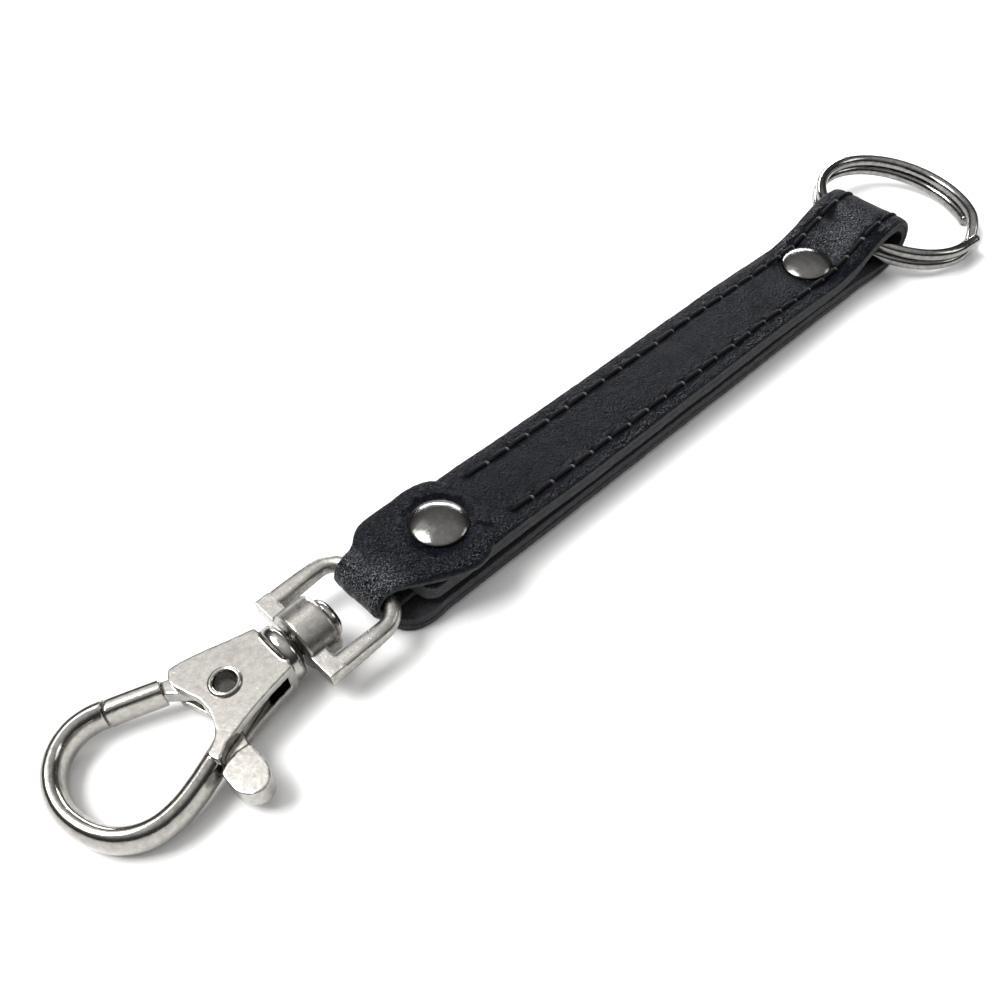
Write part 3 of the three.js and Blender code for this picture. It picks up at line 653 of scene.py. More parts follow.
def ply(name, k0, k1, wtrim, grain, mats, seed):
    """one leather strip; k is the distance from the surface that faces the gap"""
    nf = 61
    rc = 0.30 if grain else 0.14
    rb = 0.12
    u = np.linspace(-1, 1, nf)
    tmpl = []      # (fraction across, corner sign, corner dx, side k, corner dk, kind)
    for v in u:
        tmpl.append((v, 0.0, 0.0, 1, 0.0, 0))
    for a in (25, 50, 75):
        t = math.radians(a)
        tmpl.append((1.0, 1, rc * math.sin(t), 1, -rc * (1 - math.cos(t)), 1))
    for t in np.linspace(0, 1, 6):
        tmpl.append((1.0, 1, rc if t < 1 else rc, 2, t, 1))
    for a in (60, 30):
        t = math.radians(a)
        tmpl.append((1.0, 1, rc - rb + rb * math.sin(t), 0, rb * (1 - math.cos(t)), 1))
    nlow = 31
    for v in np.linspace(1, -1, nlow):
        tmpl.append((v, np.sign(v) if abs(v) == 1 else 0, (rc - rb) if abs(v) == 1 else 0.0, 0, 0.0, 2))
    for a in (30, 60):
        t = math.radians(a)
        tmpl.append((-1.0, -1, rc - rb + rb * math.sin(t), 0, rb * (1 - math.cos(t)), 1))
    for t in np.linspace(1, 0, 6):
        tmpl.append((-1.0, -1, rc, 2, t, 1))
    for a in (75, 50, 25):
        t = math.radians(a)
        tmpl.append((-1.0, -1, rc * math.sin(t), 1, -rc * (1 - math.cos(t)), 1))
    nr, ns = len(tmpl), len(S)
    Y = np.zeros((ns, nr)); K = np.zeros((ns, nr)); kinds = np.array([t[5] for t in tmpl])
    w = np.maximum(WID - wtrim, 0.6)
    wl, wr = w + edge_wave(S, -1, seed), w + edge_wave(S, 1, seed)
    th0, th1 = k0 * SK, k1 * SK
    for j, (fr, cs, cx, side, ck, kind) in enumerate(tmpl):
        wid = np.where(fr >= 0, wr, wl)
        Y[:, j] = fr * (wid - rc) + cs * cx
        if side == 1:
            K[:, j] = th1 + ck
        elif side == 0:
            K[:, j] = th0 + ck
        else:
            t = ck
            K[:, j] = (th1 - rc) * (1 - t) + (th0 + rb) * t
    SS = np.repeat(S[:, None], nr, 1)
    # the outer face carries the relief; the edge fades it out
    rel = face_relief(SS.ravel(), Y.ravel(), grain).reshape(ns, nr)
    wt = np.zeros(nr)
    for j, (fr, cs, cx, side, ck, kind) in enumerate(tmpl):
        wt[j] = 1.0 if side == 1 else (1 - ck if side == 2 else 0.0)
    if grain:
        K += rel * wt[None]
    else:
        # lining: the seam presses into the surface that faces the gap
        inw = np.array([1.0 if t[3] == 0 else 0.0 for t in tmpl])
        K -= 0.5 * np.minimum(rel, 0) * 0 + 0.0 * inw[None]
        g = 0.06 * np.exp(-((np.abs(Y) - SEAM) / 0.45) ** 2)
        K += g * inw[None]
    # fibres stand out of the cut edges
    ej = kinds == 1
    pe = np.stack([SS[:, ej].ravel() / 0.55, K[:, ej].ravel() / 0.22, np.full(ns * ej.sum(), seed * 1.0)], 1)
    fe = 0.030 * fbm(pe, 41 + seed, 3).reshape(ns, -1)
    sgn = np.sign(Y[:, ej])
    Y[:, ej] += sgn * fe * 1.2
    P = np.stack([path[:, 0:1] + K * NRM[:, 0:1], Y, path[:, 1:2] + K * NRM[:, 1:2]], -1)
    verts = np.concatenate([P.reshape(-1, 3), P[0].mean(0)[None], P[-1].mean(0)[None]])
    faces = loft_faces(ns, nr)
    fm = np.zeros(len(faces), int)
    km = np.array([0 if (kinds[j] == 0 and kinds[(j + 1) % nr] == 0) else (2 if (kinds[j] == 2 and kinds[(j + 1) % nr] == 2) else 1) for j in range(nr)])
    # the rounded shoulder next to the grain face is still grain
    for j in range(nr):
        t, t2 = tmpl[j], tmpl[(j + 1) % nr]
        if t[3] == 1 and t2[3] == 1 and min(abs(t[4]), abs(t2[4])) < rc * 0.4:
            km[j] = 0
    fm[:(ns - 1) * nr] = np.tile(km, ns - 1)
    fm[(ns - 1) * nr:] = 1
    ob = new_object(name, strap_m(verts), faces, mats, fm)
    return fix_normals(ob)


grain_ply = ply("strap_grain", PLY + PLY_GAP, 2 * PLY + PLY_GAP, 0.0, True, [M_GRAIN, M_EDGE, M_FLESH], 1)
lining_ply = ply("strap_lining", 0.0, PLY, 0.08, False, [M_FLESH, M_EDGE, M_FLESH], 2)
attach(grain_ply, "strap"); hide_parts("strap_grain_ply")
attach(lining_ply, "strap"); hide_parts("strap_lining_ply")


# ----------------------------------------------------------------- stitches
def stitches(name, side, outer, node):
    ds, dy = SHIFT[side]
    verts, faces, fm, base = [], [], [], 0
    nr, ns = 10, 19
    ang = np.arange(nr) / nr * 2 * math.pi
    g = np.random.default_rng(5 + side + 10 * outer)
    for k in range(len(HOLES) - 1):
        a, b = HOLES[k] + ds[k] + 0.10, HOLES[k + 1] + ds[k + 1] - 0.10
        t = np.linspace(0, 1, ns)
        s = a + (b - a) * t
        slant = 0.055 * (1 if outer else -1)
        y = side * SEAM + dy[k] * (1 - t) + dy[k + 1] * t + slant * (2 * t - 1)
        e = np.abs(2 * t - 1)
        X = np.interp(s, S, path[:, 0]); Z = np.interp(s, S, path[:, 1])
        nx = np.interp(s, S, NRM[:, 0]); nz = np.interp(s, S, NRM[:, 1])
        sk = np.interp(s, S, SK)
        rel = face_relief(s, y, True)
        if outer:
            crown = 0.11 + g.normal(0, 0.02)
            kk = (2 * PLY + PLY_GAP) * sk + np.maximum(rel, -0.12) * 0.8 + crown - 0.62 * e ** 7
            sign = 1.0
        else:
            kk = 0.02 + 0.45 * e ** 7
            sign = -1.0
        r1 = 0.38 * (1 - 0.25 * e ** 6)
        r2 = (0.29 if outer else 0.15) * (1 - 0.2 * e ** 6)
        P = np.stack([X + kk * nx, y, Z + kk * nz], 1)
        T = np.gradient(P, axis=0); T /= np.linalg.norm(T, axis=1)[:, None]
        side_v = np.tile(np.array([0.0, 1.0, 0.0]), (ns, 1))
        up_v = np.cross(T, side_v); up_v /= np.linalg.norm(up_v, axis=1)[:, None]
        up_v *= np.sign((up_v[:, 0] * nx + up_v[:, 2] * nz))[:, None] * sign
        # three strands laid up with a slow twist
        tw = ang[None] * 1.0
        lay = 1 + 0.09 * np.cos(3 * (tw + (s - a)[:, None] * 2 * math.pi / 3.2))
        pts = P[:, None] + (r1[:, None] * lay * np.cos(tw))[..., None] * side_v[:, None] + (r2[:, None] * lay * np.sin(tw))[..., None] * up_v[:, None]
        verts.append(np.concatenate([pts.reshape(-1, 3), P[:1], P[-1:]]))
        f = loft_faces(ns, nr)
        faces += [[base + i for i in q] for q in f]
        mid = np.repeat(np.arange(ns - 1), nr)
        # painted highlight: a short stretch by one end of each outer stitch takes the light thread
        m = ((mid == 1) | (mid == 2)).astype(int) if outer else np.zeros(len(mid), int)
        fm += m.tolist() + [0] * (2 * nr)
        base += len(verts[-1])
    ob = new_object(name, strap_m(np.concatenate(verts)), faces, [M_THREAD, M_TEND], fm)
    fix_normals(ob)
    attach(ob, "strap"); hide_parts(node)
    return ob


stitches("seam_stitches_far", 1, True, "seam_thread_far")
stitches("seam_stitches_near", -1, True, "seam_thread_near")
stitches("bobbin_stitches_far", 1, False, "bobbin_thread_far")
stitches("bobbin_stitches_near", -1, False, "bobbin_thread_near")

# --------------------------------------------------------------- leather tab
TAB_T, TAB_R = 1.15, 1.62
BOWX, BOWZ = -20 + 9.2 * CT, 4.75 + 9.2 * ST
low = catmull([(6.0, 4.52), (2, 4.52), (-2, 4.52), (-5, 4.46), (-7.5, 4.02), (BOWX + 1.1, BOWZ - TAB_R - 0.02)], 16)
arc = np.array([(BOWX + TAB_R * math.cos(a), BOWZ + TAB_R * math.sin(a)) for a in np.linspace(-math.pi / 2 - 0.2, -1.5 * math.pi + 0.2, 40)])
upc = catmull([(BOWX + 1.1, BOWZ + TAB_R + 0.02), (-8.2, 7.24), (-6.8, 7.3), (-4, 7.3), (0, 7.3), (5.9, 7.3)], 16)
traw = np.concatenate([low, arc, upc])
L = np.concatenate([[0], np.cumsum(np.linalg.norm(np.diff(traw, axis=0), axis=1))])
n_main = int((L[-1] - 3.0) / 0.2)
kn = np.concatenate([np.linspace(0, L[-1] - 3.0, n_main, endpoint=False), L[-1] - 3.0 * (1 - np.linspace(0, 1, 40)) ** 2.0])
tpath, TS = resample(traw, knots=kn)
# soften the joins
for _ in range(6):
    tpath[1:-1] = 0.25 * tpath[:-2] + 0.5 * tpath[1:-1] + 0.25 * tpath[2:]
TN = -normals2(tpath)
s_top = L[len(low) + 20]     # middle of the roll
near_pts = [(-12.9, -3.25), (-9.8, -3.75), (-7.6, -5.2), (-5.4, -6.4), (-3.0, -7.4), (-0.8, -7.9), (1.2, -7.7), (3.0, -6.8), (4.4, -5.2), (5.3, -3.4), (5.8, -1.2), (5.93, -0.2)]
far_pts = [(-12.9, 4.55), (-11.0, 4.7), (-9.8, 5.05), (-8.7, 6.0), (-7.4, 6.85), (-5.6, 7.1), (-3, 7.1), (-1.0, 7.15), (1.5, 7.1), (3.4, 6.5), (4.8, 5.2), (5.5, 3.4), (5.85, 1.2), (5.93, 0.0)]
nc = catmull(near_pts, 12); fc = catmull(far_pts, 12)
on_top = TS > s_top
yn = np.where(on_top, np.interp(tpath[:, 0], nc[:, 0], nc[:, 1]), -3.3)
yf = np.where(on_top, np.interp(tpath[:, 0], fc[:, 0], fc[:, 1]), 4.7)
trk = sstep(s_top - 1.0, s_top + 1.5, TS)
yn = np.where(on_top, yn, -3.3); yf = np.where(on_top, yf, 4.65)
for _ in range(4):
    yn[1:-30] = 0.25 * yn[:-31] + 0.5 * yn[1:-30] + 0.25 * yn[2:-29]
    yf[1:-30] = 0.25 * yf[:-31] + 0.5 * yf[1:-30] + 0.25 * yf[2:-29]


def tab():
    nf, ne = 57, 7
    rc = 0.42
    tm = []
    for v in np.linspace(-1, 1, nf):
        tm.append((v, 0.0, 1.0, 0))
    tm += [(1, math.sin(math.radians(a)) * rc, None if False else ("t", rc * (1 - math.cos(math.radians(a)))), 1) for a in (22, 45, 68)]
    tm += [(1, rc, ("m", t), 1) for t in np.linspace(0, 1, ne)]
    tm += [(1, rc * 0.5, ("b", 0.0), 1)]
    for v in np.linspace(1, -1, 29):
        tm.append((v, 0.0, 0.0, 2))
    tm += [(-1, rc * 0.5, ("b", 0.0), 1)]
    tm += [(-1, rc, ("m", t), 1) for t in np.linspace(1, 0, ne)]
    tm += [(-1, math.sin(math.radians(a)) * rc, ("t", rc * (1 - math.cos(math.radians(a)))), 1) for a in (68, 45, 22)]
    ns, nr = len(tpath), len(tm)
    Y = np.zeros((ns, nr)); K = np.zeros((ns, nr)); F = np.zeros((ns, nr))
    mid = 0.5 * (yn + yf); half = np.maximum(0.5 * (yf - yn), 0.45)
    wav_n = 0.08 * fbm(np.stack([TS / 3.0, 0 * TS, 0 * TS], 1), 51, 3) + 0.03 * fbm(np.stack([TS / 0.6, 0 * TS, 0 * TS], 1), 52, 2)
    wav_f = 0.08 * fbm(np.stack([TS / 3.0, 0 * TS, 0 * TS], 1), 53, 3) + 0.03 * fbm(np.stack([TS / 0.6, 0 * TS, 0 * TS], 1), 54, 2)
    kinds = np.array([t[3] for t in tm])
    topw = np.zeros(nr)
    for j, (fr, cx, kk, kind) in enumerate(tm):
        h = half + (wav_f if fr > 0 else wav_n)
        Y[:, j] = mid + fr * np.maximum(h - rc, 0.05) + np.sign(fr) * (cx if kind == 1 else 0)
        if kind == 0:
            K[:, j] = TAB_T; topw[j] = 1
        elif kind == 2:
            K[:, j] = 0
        else:
            m, v = kk
            if m == "t":
                K[:, j] = TAB_T - v; topw[j] = 1
            elif m == "b":
                K[:, j] = 0.02
            else:
                K[:, j] = (TAB_T - rc) * (1 - v) + 0.10 * v; topw[j] = 1 - v
    X = np.repeat(tpath[:, 0:1], nr, 1)
    top = sstep(s_top - 2.0, s_top + 2.0, TS)[:, None]
    # relief of the upper face
    r = np.hypot(X, Y)
    z = np.zeros_like(K)
    z -= 0.40 * (1 - sstep(3.4, 6.4, r)) * top
    z += 0.24 * np.exp(-((r - 5.0) / 0.5) ** 2) * top * (0.6 + 0.4 * np.cos(np.arctan2(Y, X) - 0.6))
    z -= 0.10 * np.exp(-((r - 4.25) / 0.3) ** 2) * top
    P3 = np.stack([X.ravel() / 1.7, Y.ravel() / 1.7, (top + 0 * X).ravel()], 1)
    z += 0.13 * fbm(P3, 61, 3).reshape(z.shape) * sstep(4.0, 5.2, r)
    P3 = np.stack([X.ravel() / 0.6, Y.ravel() / 0.9, 0 * X.ravel()], 1)
    z += 0.05 * fbm(P3, 63, 3).reshape(z.shape) * sstep(4.0, 4.8, r)
    # pressed wrinkles that run out from the rivet, and one deep crease by the end
    ang = np.arctan2(Y, X)
    wr = np.sin(ang * 13 + 2.2 * fbm(np.stack([X.ravel() / 2, Y.ravel() / 2, 0 * X.ravel()], 1), 66, 2).reshape(z.shape))
    z -= 0.11 * np.maximum(wr, 0) * np.exp(-((r - 5.5) / 0.9) ** 2) * top
    z -= 0.36 * np.exp(-(((X - 4.3) * 0.8 + (Y + 4.6) * 0.6) / 0.28) ** 2) * np.exp(-((X - 4.3) ** 2 + (Y + 4.6) ** 2) / 2.6) * top
    # the bend round the eye is finely wrinkled across
    rollm = np.exp(-((TS - s_top - 1.0) / 2.6) ** 2)[:, None]
    z += 0.045 * rollm * fbm(np.stack([np.repeat(TS[:, None], nr, 1).ravel() / 0.45, Y.ravel() / 1.6, 0 * X.ravel()], 1), 71, 3).reshape(z.shape)
    K = K + z * topw[None]
    # sides that stand past the strap droop
    droop = (0.34 * sstep(5.6, 8.2, np.abs(Y)) ** 1.2) * top * sstep(-9.5, -6.5, X)
    droop = droop + 0.20 * sstep(3.6, 6.2, X) * top
    Px = X + K * TN[:, 0:1]
    Pz = tpath[:, 1:2] + K * TN[:, 1:2] - droop
    fe = 0.030 * fbm(np.stack([np.repeat(TS[:, None], nr, 1).ravel() / 0.5, K.ravel() / 0.2, 0 * K.ravel()], 1), 81, 3).reshape(z.shape)
    Y = Y + np.where(kinds == 1, np.sign(Y - mid[:, None]) * fe, 0)
    P = np.stack([Px, Y, Pz], -1)
    verts = np.concatenate([P.reshape(-1, 3), P[0].mean(0)[None], P[-1].mean(0)[None]])
    faces = loft_faces(ns, nr)
    km = np.ones(nr, int)
    for j in range(nr):
        a, b = tm[j], tm[(j + 1) % nr]
        if a[3] == 0 and b[3] == 0: km[j] = 0
        elif a[3] == 2 and b[3] == 2: km[j] = 2
        elif topw[j] > 0.75 and topw[(j + 1) % nr] > 0.75: km[j] = 0
    fm = np.ones(len(faces), int)
    fm[:(ns - 1) * nr] = np.tile(km, ns - 1)
    ob = new_object("leather_tab_skin", strap_m(verts), faces, [M_GRAIN, M_EDGE, M_FLESH], fm)
    fix_normals(ob)
    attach(ob, "strap"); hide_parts("leather_tab")
    return ob


tab()


# ------------------------------------------------------------------- rivets
def at_rivet(x, tilt=0.0, z=0.0):
    c, s = math.cos(math.radians(tilt)), math.sin(math.radians(tilt))

    def f(p):
        p = np.array(p, float)
        X = p[..., 0] * c - p[..., 2] * s
        Z = p[..., 0] * s + p[..., 2] * c
        return strap_m(np.stack([X + x, p[..., 1], Z + z], -1))
    return f


def cap_profile(r, h):
    prof = [(0, 0), (r - 0.30, 0)]
    for a in np.linspace(-90, 20, 9):
        t = math.radians(a)
        prof.append((r - 0.20 + 0.20 * math.cos(t), 0.20 + 0.20 * math.sin(t)))
    r1, z1 = prof[-1]
    for t in np.linspace(0, 1, 26)[1:]:
        rr = r1 * (1 - t)
        q = rr / r1
        prof.append((rr, z1 + (h - z1) * (1 - q ** 2.5) ** 0.80))
    prof[-1] = (0, h)
    return prof


def dings(seed, amount=0.02):
    def f(pts):
        p = pts.reshape(-1, 3)
        d = amount * fbm(p / np.array([1.1, 1.1, 3.0]), seed, 3)
        p[:, 2] += d * (p[:, 2] > 0.3)
        return p.reshape(pts.shape)
    return f


def rivet_pair(prefix, x, seat, tilt):
    cap = lathe(prefix + "_cap", cap_profile(3.85, 1.2), at_rivet(x, tilt, seat), [M_RIVET], 112, dings(3 if x < 1 else 4, 0.022))
    sock = [(0, seat + 0.3), (1.35, seat + 0.3), (1.35, 2.85), (1.1, 2.85), (0, 2.85)]
    # the socket is inside the leather
    hz = 0.86
    prof = [(0, hz), (3.6, hz)]
    for a in np.linspace(90, -35, 9):
        t = math.radians(a)
        prof.append((3.63 + 0.22 * math.cos(t), hz - 0.22 + 0.22 * math.sin(t)))
    prof += [(3.35, 0.24), (3.05, 0.06), (2.9, 0.0), (2.2, 0.0), (1.2, 0.0), (0, 0.0)]
    head = lathe(prefix + "_head", prof, at_rivet(x), [M_RIVET], 112)
    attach(cap, "strap"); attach(head, "strap")
    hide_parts(prefix + "_rivet_cap"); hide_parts(prefix + "_rivet_post")


rivet_pair("clasp", 0.0, 8.16, 0.0)
rivet_pair("ring", 79.0, 6.14, 5.5)

# -------------------------------------------------------------- swivel clasp
VOX = 0.115


def circle(r, n=48, cx=0.0, cy=0.0):
    a = np.arange(n) / n * 2 * math.pi
    return np.stack([cx + r * np.cos(a), cy + r * np.sin(a)], 1)


def clasp_x(p):
    """lathe about the swivel: local z is the clasp's x"""
    p = np.array(p, float)
    return clasp_m(np.stack([p[..., 2], p[..., 0], p[..., 1]], -1))


def clasp_at(cx, cy):
    def f(p):
        p = np.array(p, float)
        return clasp_m(p + np.array([cx, cy, 0.0]))
    return f


PIV = (-11.6, 0.25)

# eye
c, xb, w = 3.4, 9.2, 6.3
epts = [(-2.65, -w, 0), (1.5, -w, 0), (xb - c, -w, 0)]
epts += [(xb - c + c * math.cos(a), -w + c + c * math.sin(a), 0) for a in np.radians([-75, -60, -45, -30, -15])]
epts += [(xb, -w + c, 0), (xb, 0, 0), (xb, w - c, 0)]
epts += [(xb - c + c * math.cos(a), w - c + c * math.sin(a), 0) for a in np.radians([15, 30, 45, 60, 75])]
epts += [(xb - c, w, 0), (1.5, w, 0), (-2.65, w, 0)]
epath, _ = resample(catmull(epts, 12), step=0.25)


def eye_section(Sx, t):
    q = sstep(0.10, 0.30, np.minimum(t, 1 - t))
    out = []
    for k in q:
        out.append(superellipse(1.12, 1.12, 40, 4.6 * (1 - k) + 2.15 * k))
    return np.array(out)


bow = tube("eye_bow", epath, superellipse(1.12, 1.12, 40, 2.2), clasp_m, [], section_fn=eye_section)
bar = prism("eye_bar", [(-2.65, -7.35), (-0.45, -7.35), (-0.45, 7.35), (-2.65, 7.35)], -1.12, 1.12, clasp_m)
hub = lathe("eye_hub", [(0, -2.55), (3.5, -2.55), (3.78, -2.45), (3.95, -2.2), (3.95, 1.45), (3.8, 1.78), (3.45, 1.95), (0, 1.95)], clasp_x, [], 96)
bore = lathe("bore", [(0, -6), (1.82, -6), (1.82, 6), (0, 6)], clasp_x, [], 64)
for o in (bar, hub):
    boolean(o, bore)
remove(bore)
eye = cast("swivel_eye_cast", [bow, bar, hub], VOX, 5, [M_HUB])
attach(eye, "eye"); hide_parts("swivel_eye")

# hook body
cheek = [
    (-5.0, 3.3), (-7.9, 4.35), (-11.3, 5.6), (-14.2, 6.3), (-15.2, 6.3), (-15.7, 5.75), (-16.1, 4.65), (-15.55, 2.6), (-15.0, 0.9), (-14.9, -0.5), (-15.1, -1.9),
    (-15.7, -3.5), (-16.7, -4.7), (-17.9, -5.4), (-17.6, -7.0), (-16.1, -6.1), (-14.4, -5.6), (-11.85, -4.85), (-8.5, -4.05), (-5.0, -3.3)]
loop_pts = [
    (-15.6, -4.75, 0), (-17.0, -5.35, 0), (-19.0, -6.15, 0), (-21.4, -7.0, 0), (-23.7, -7.55, 0), (-26.2, -7.6, 0), (-28.3, -6.9, 0), (-30.15, -5.5, 0), (-31.35, -3.8, 0),
    (-32.15, -1.8, 0), (-32.6, 0.6, 0), (-32.5, 2.6, 0), (-31.95, 4.6, 0), (-30.85, 6.5, 0), (-29.1, 8.05, 0), (-26.9, 8.88, 0), (-24.8, 8.86, 0), (-22.4, 8.12, 0)]
cheek_round = catmull([(-7.9, 4.5)] + cheek[2:18] + [(-8.5, -4.15)], 5)
cheeks = prism("cheeks", np.concatenate([[(-4.95, 3.62)], cheek_round, [(-4.95, -3.62)]]), -2.4, 2.4, clasp_m)
lp, _ = resample(catmull(loop_pts, 12), step=0.3)
loop = tube("loop", lp, superellipse(1.34, 2.26, 48, 2.05), clasp_m, [])
collar = lathe("collar", [
    (0, -5.7), (2.25, -5.7), (2.3, -5.3), (3.25, -5.25), (3.55, -5.02), (3.72, -4.6), (3.74, -4.1), (3.64, -3.68), (3.36, -3.40), (2.5, -3.30), (2.35, -2.90),
    (1.68, -2.88), (1.68, 2.06), (2.6, 2.08), (2.62, 2.35), (2.5, 2.75), (2.1, 3.12), (1.2, 3.3), (0, 3.35)], clasp_x, [], 96)
slot = prism("slot", [(-6.1, -9), (-6.1, 2.6), (-12.2, 4.9), (-12.2, 9), (-17.0, 9), (-17.2, -3.6), (-17.4, -9)], -1.08, 1.08, clasp_m)
hole = lathe("hole", [(0, -6), (1.72, -6), (1.72, 6), (0, 6)], clasp_at(*PIV), [], 64)
tip = lathe("tip", [(0, -6), (13.95, -6), (13.95, 6), (0, 6)], clasp_at(*PIV), [], 160)
tipbox = prism("tipbox", [(-27, 6.6), (-15, 6.6), (-15, 14), (-27, 14)], -5, 5, clasp_m)
boolean(tip, tipbox, "INTERSECT")
boolean(cheeks, slot)
boolean(cheeks, hole)
boolean(loop, slot)
boolean(loop, tip)
remove(slot, hole, tip, tipbox)
hook = cast("hook_cast", [cheeks, loop, collar], VOX, 6, [M_CAST])
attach(hook, "hook"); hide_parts("hook_body")

# trigger
boss = lathe("boss", [(0, -0.96), (3.3, -0.96), (3.3, 0.96), (0, 0.96)], clasp_at(*PIV), [], 96)
to_gate = prism("to_gate", [(-10.6, 3.2), (-16.3, 6.55), (-18.2, 7.2), (-18.9, 5.3), (-17.3, 5.1), (-13.3, 1.2), (-13.2, -1.0), (-11.6, -2.0)], -0.96, 0.96, clasp_m)
to_thumb = prism("to_thumb", [(-8.6, -1.0), (-8.8, -3.1), (-13.6, -4.95), (-14.1, -7.6), (-17.6, -7.9), (-16.9, -6.2), (-16.3, -4.2), (-14.6, -1.2), (-11.6, 0.2)], -0.96, 0.96, clasp_m)
gate = tube("gate", resample(catmull([(-16.9, 5.78, 0), (-17.6, 6.08, 0), (-20.0, 7.05, 0), (-22.45, 8.0, 0), (-24.6, 8.68, 0), (-25.6, 8.95, 0)], 12), step=0.3)[0], superellipse(1.14, 1.95, 48, 3.2), clasp_m, [])
g1 = lathe("g1", [(0, -6), (13.75, -6), (13.75, 6), (0, 6)], clasp_at(*PIV), [], 200)
g2 = lathe("g2", [(0, -6), (7.2, -6), (7.2, 6), (0, 6)], clasp_at(*PIV), [], 120)
boolean(gate, g1, "INTERSECT"); boolean(gate, g2)
thumb = prism("thumb", [(-14.1, -7.3), (-18.0, -7.75), (-18.35, -9.4), (-18.3, -10.7), (-17.8, -11.8), (-16.9, -12.55), (-15.9, -12.7), (-14.95, -12.3), (-14.3, -11.4), (-14.0, -10.2), (-13.95, -8.8)], -1.5, 1.5, clasp_m, smooth_outline=5)
pocket = lathe("pocket", [(0, -4), (2.75, -4), (2.75, 0.2), (0, 0.2)], clasp_at(*PIV), [], 80)
thole = lathe("thole", [(0, -6), (1.74, -6), (1.74, 6), (0, 6)], clasp_at(*PIV), [], 64)
for o in (boss, to_gate, to_thumb):
    boolean(o, pocket); boolean(o, thole)
remove(pocket, thole, g1, g2)
trig = cast("trigger_cast", [boss, to_gate, to_thumb, gate, thumb], VOX, 5, [M_CAST])
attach(trig, "trigger"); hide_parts("trigger")

# pivot eyelet with two rolled flanges
z = 2.43
prof = []
for a in np.linspace(180, -60, 15):
    t = math.radians(a)
    prof.append((1.66 + 0.34 * math.cos(t), z + 0.06 + 0.34 * math.sin(t)))
prof += [(1.62, z - 0.05), (1.62, -z + 0.05)]
for a in np.linspace(60, -180, 15):
    t = math.radians(a)
    prof.append((1.66 + 0.34 * math.cos(t), -z - 0.06 + 0.34 * math.sin(t)))
eyelet = lathe("eyelet_rolled", prof, clasp_at(*PIV), [M_CAST], 72)
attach(eyelet, "hook"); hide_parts("pivot_eyelet")

# torsion spring
a = 0.9 + np.linspace(0, 1, 160) * 4 * math.pi
sp = np.stack([PIV[0] + 2.12 * np.cos(a), PIV[1] + 2.12 * np.sin(a), -0.72 + 0.72 * np.linspace(0, 1, 160)], 1)
spring = tube("torsion_spring", sp, superellipse(0.15, 0.15, 10, 2), clasp_m, [M_SPRING])
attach(spring, "hook"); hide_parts("trigger_spring")

# ----------------------------------------------------------------- split ring
RR, WR, RP = 13.4, 0.90, 1.86
n = 620
deg = np.linspace(-41, 645, n)
stp = (deg - 302) / 17.0
k = np.where(stp <= -1, 0, np.where(stp >= 1, 1, 0.5 + 0.5 * np.sin(np.clip(stp, -1, 1) * math.pi / 2)))
ra = np.radians(deg)
spring_out = np.clip((deg - 629) / 16.0, 0, 1) ** 2
rp = np.stack([(RR + 0.55 * spring_out) * np.cos(ra), (RR + 0.55 * spring_out) * np.sin(ra), (k - 0.5) * RP + 0.15 * spring_out], 1)
tx, ty = math.radians(6.4), math.radians(5.3)


def ring_m(p):
    p = np.array(p, float)
    x, y, zz = p[..., 0], p[..., 1], p[..., 2]
    y, zz = y * math.cos(tx) - zz * math.sin(tx), y * math.sin(tx) + zz * math.cos(tx)
    x, zz = x * math.cos(ty) + zz * math.sin(ty), -x * math.sin(ty) + zz * math.cos(ty)
    return strap_m(np.stack([x + 93.0 - 0.98 + RR * math.cos(ty), y - 0.45, zz + 5.08 - RR * math.sin(ty)], -1))


def ring_ends(Sx, t):
    # the cut ends are slightly rounded over
    e = np.minimum(t, 1 - t) * 150.0
    f = np.where(e < 0.35, 0.72 + 0.28 * np.sqrt(np.clip(1 - (1 - e / 0.35) ** 2, 0, 1)), 1.0)
    return Sx * f[:, None, None]


ring = tube("split_ring_wire", rp, superellipse(WR, WR, 26, 2.15), ring_m, [M_RING], section_fn=ring_ends)
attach(ring, "ring"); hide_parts("split_ring")

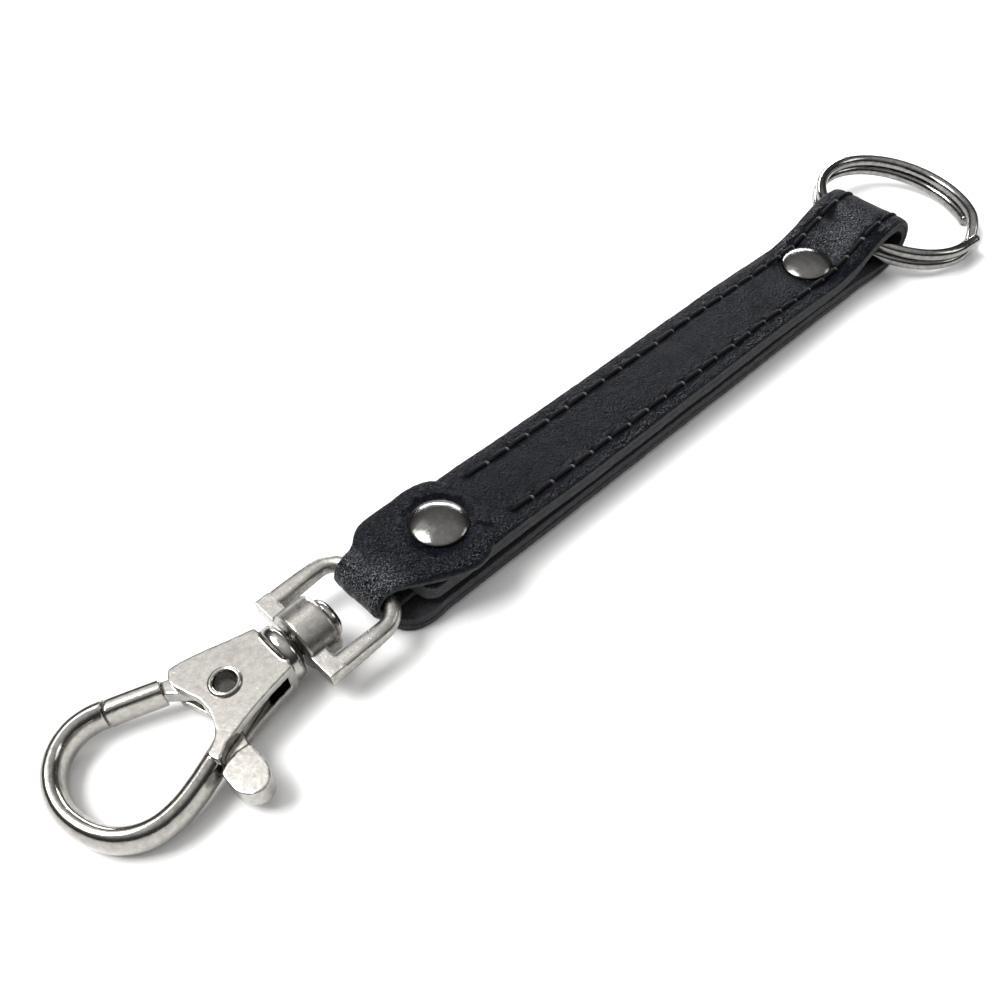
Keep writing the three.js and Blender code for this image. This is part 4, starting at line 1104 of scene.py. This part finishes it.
# --------------------------------------------------------------- floor, light
floor_n = Nodes("floor_white")
fn = floor_n.noise(3.0, 2, 0.5)
floor_n.link(floor_n.mix(fn, (0.93, 0.93, 0.93), (0.96, 0.96, 0.96)), floor_n.b.inputs["Base Color"])
floor_n.set(Roughness=0.28, Specular_IOR_Level=0.28)
floor = new_object("floor", [(-3, -3, 0), (3, -3, 0), (3, 3, 0), (-3, 3, 0)], [(0, 1, 2, 3)], [floor_n.m], smooth=False)


def area(name, loc, target, size, power, color=(1, 1, 1)):
    d = bpy.data.lights.new(name, "AREA")
    d.shape = "RECTANGLE"
    d.size, d.size_y = size
    d.energy = power
    d.color = color
    o = bpy.data.objects.new(name, d)
    sc.collection.objects.link(o)
    o.location = loc
    o.rotation_euler = (Vector(target) - Vector(loc)).to_track_quat("-Z", "Y").to_euler()
    return o


area("key", (-0.44, 0.36, 0.80), (0, 0, 0), (0.56, 0.50), 12.8, (1.0, 0.995, 0.985))
area("panel", (-0.075, 0.37, 0.60), (-0.05, 0, 0), (0.38, 0.32), 0.34, (1.0, 0.995, 0.985))
area("rim", (0.46, 0.52, 0.20), (0.02, 0, 0), (0.60, 0.07), 3.6, (0.97, 0.98, 1.0))
area("right", (0.50, -0.34, 0.36), (0, 0, 0), (0.24, 0.24), 0.6, (1.0, 0.99, 0.97))
world = bpy.data.worlds.new("studio")
sc.world = world
world.use_nodes = True
wn = world.node_tree
wn.nodes.clear()
wo = wn.nodes.new("ShaderNodeOutputWorld")
bg = wn.nodes.new("ShaderNodeBackground")
wt = wn.nodes.new("ShaderNodeTexCoord")
wx = wn.nodes.new("ShaderNodeSeparateXYZ")
wr = wn.nodes.new("ShaderNodeValToRGB")
for e, (pos, val) in zip([wr.color_ramp.elements[0], wr.color_ramp.elements[1], wr.color_ramp.elements.new(0.3)], [(0.0, 0.03), (0.9, 0.30), (0.45, 0.10)]):
    e.position = pos
    e.color = (val, val, val, 1)
wn.links.new(wt.outputs["Generated"], wx.inputs[0])
wn.links.new(wx.outputs["Z"], wr.inputs["Fac"])
wn.links.new(wr.outputs["Color"], bg.inputs["Color"])
bg.inputs["Strength"].default_value = 1.0
wn.links.new(bg.outputs[0], wo.inputs[0])
sc.view_settings.view_transform = "Standard"
sc.view_settings.look = "None"
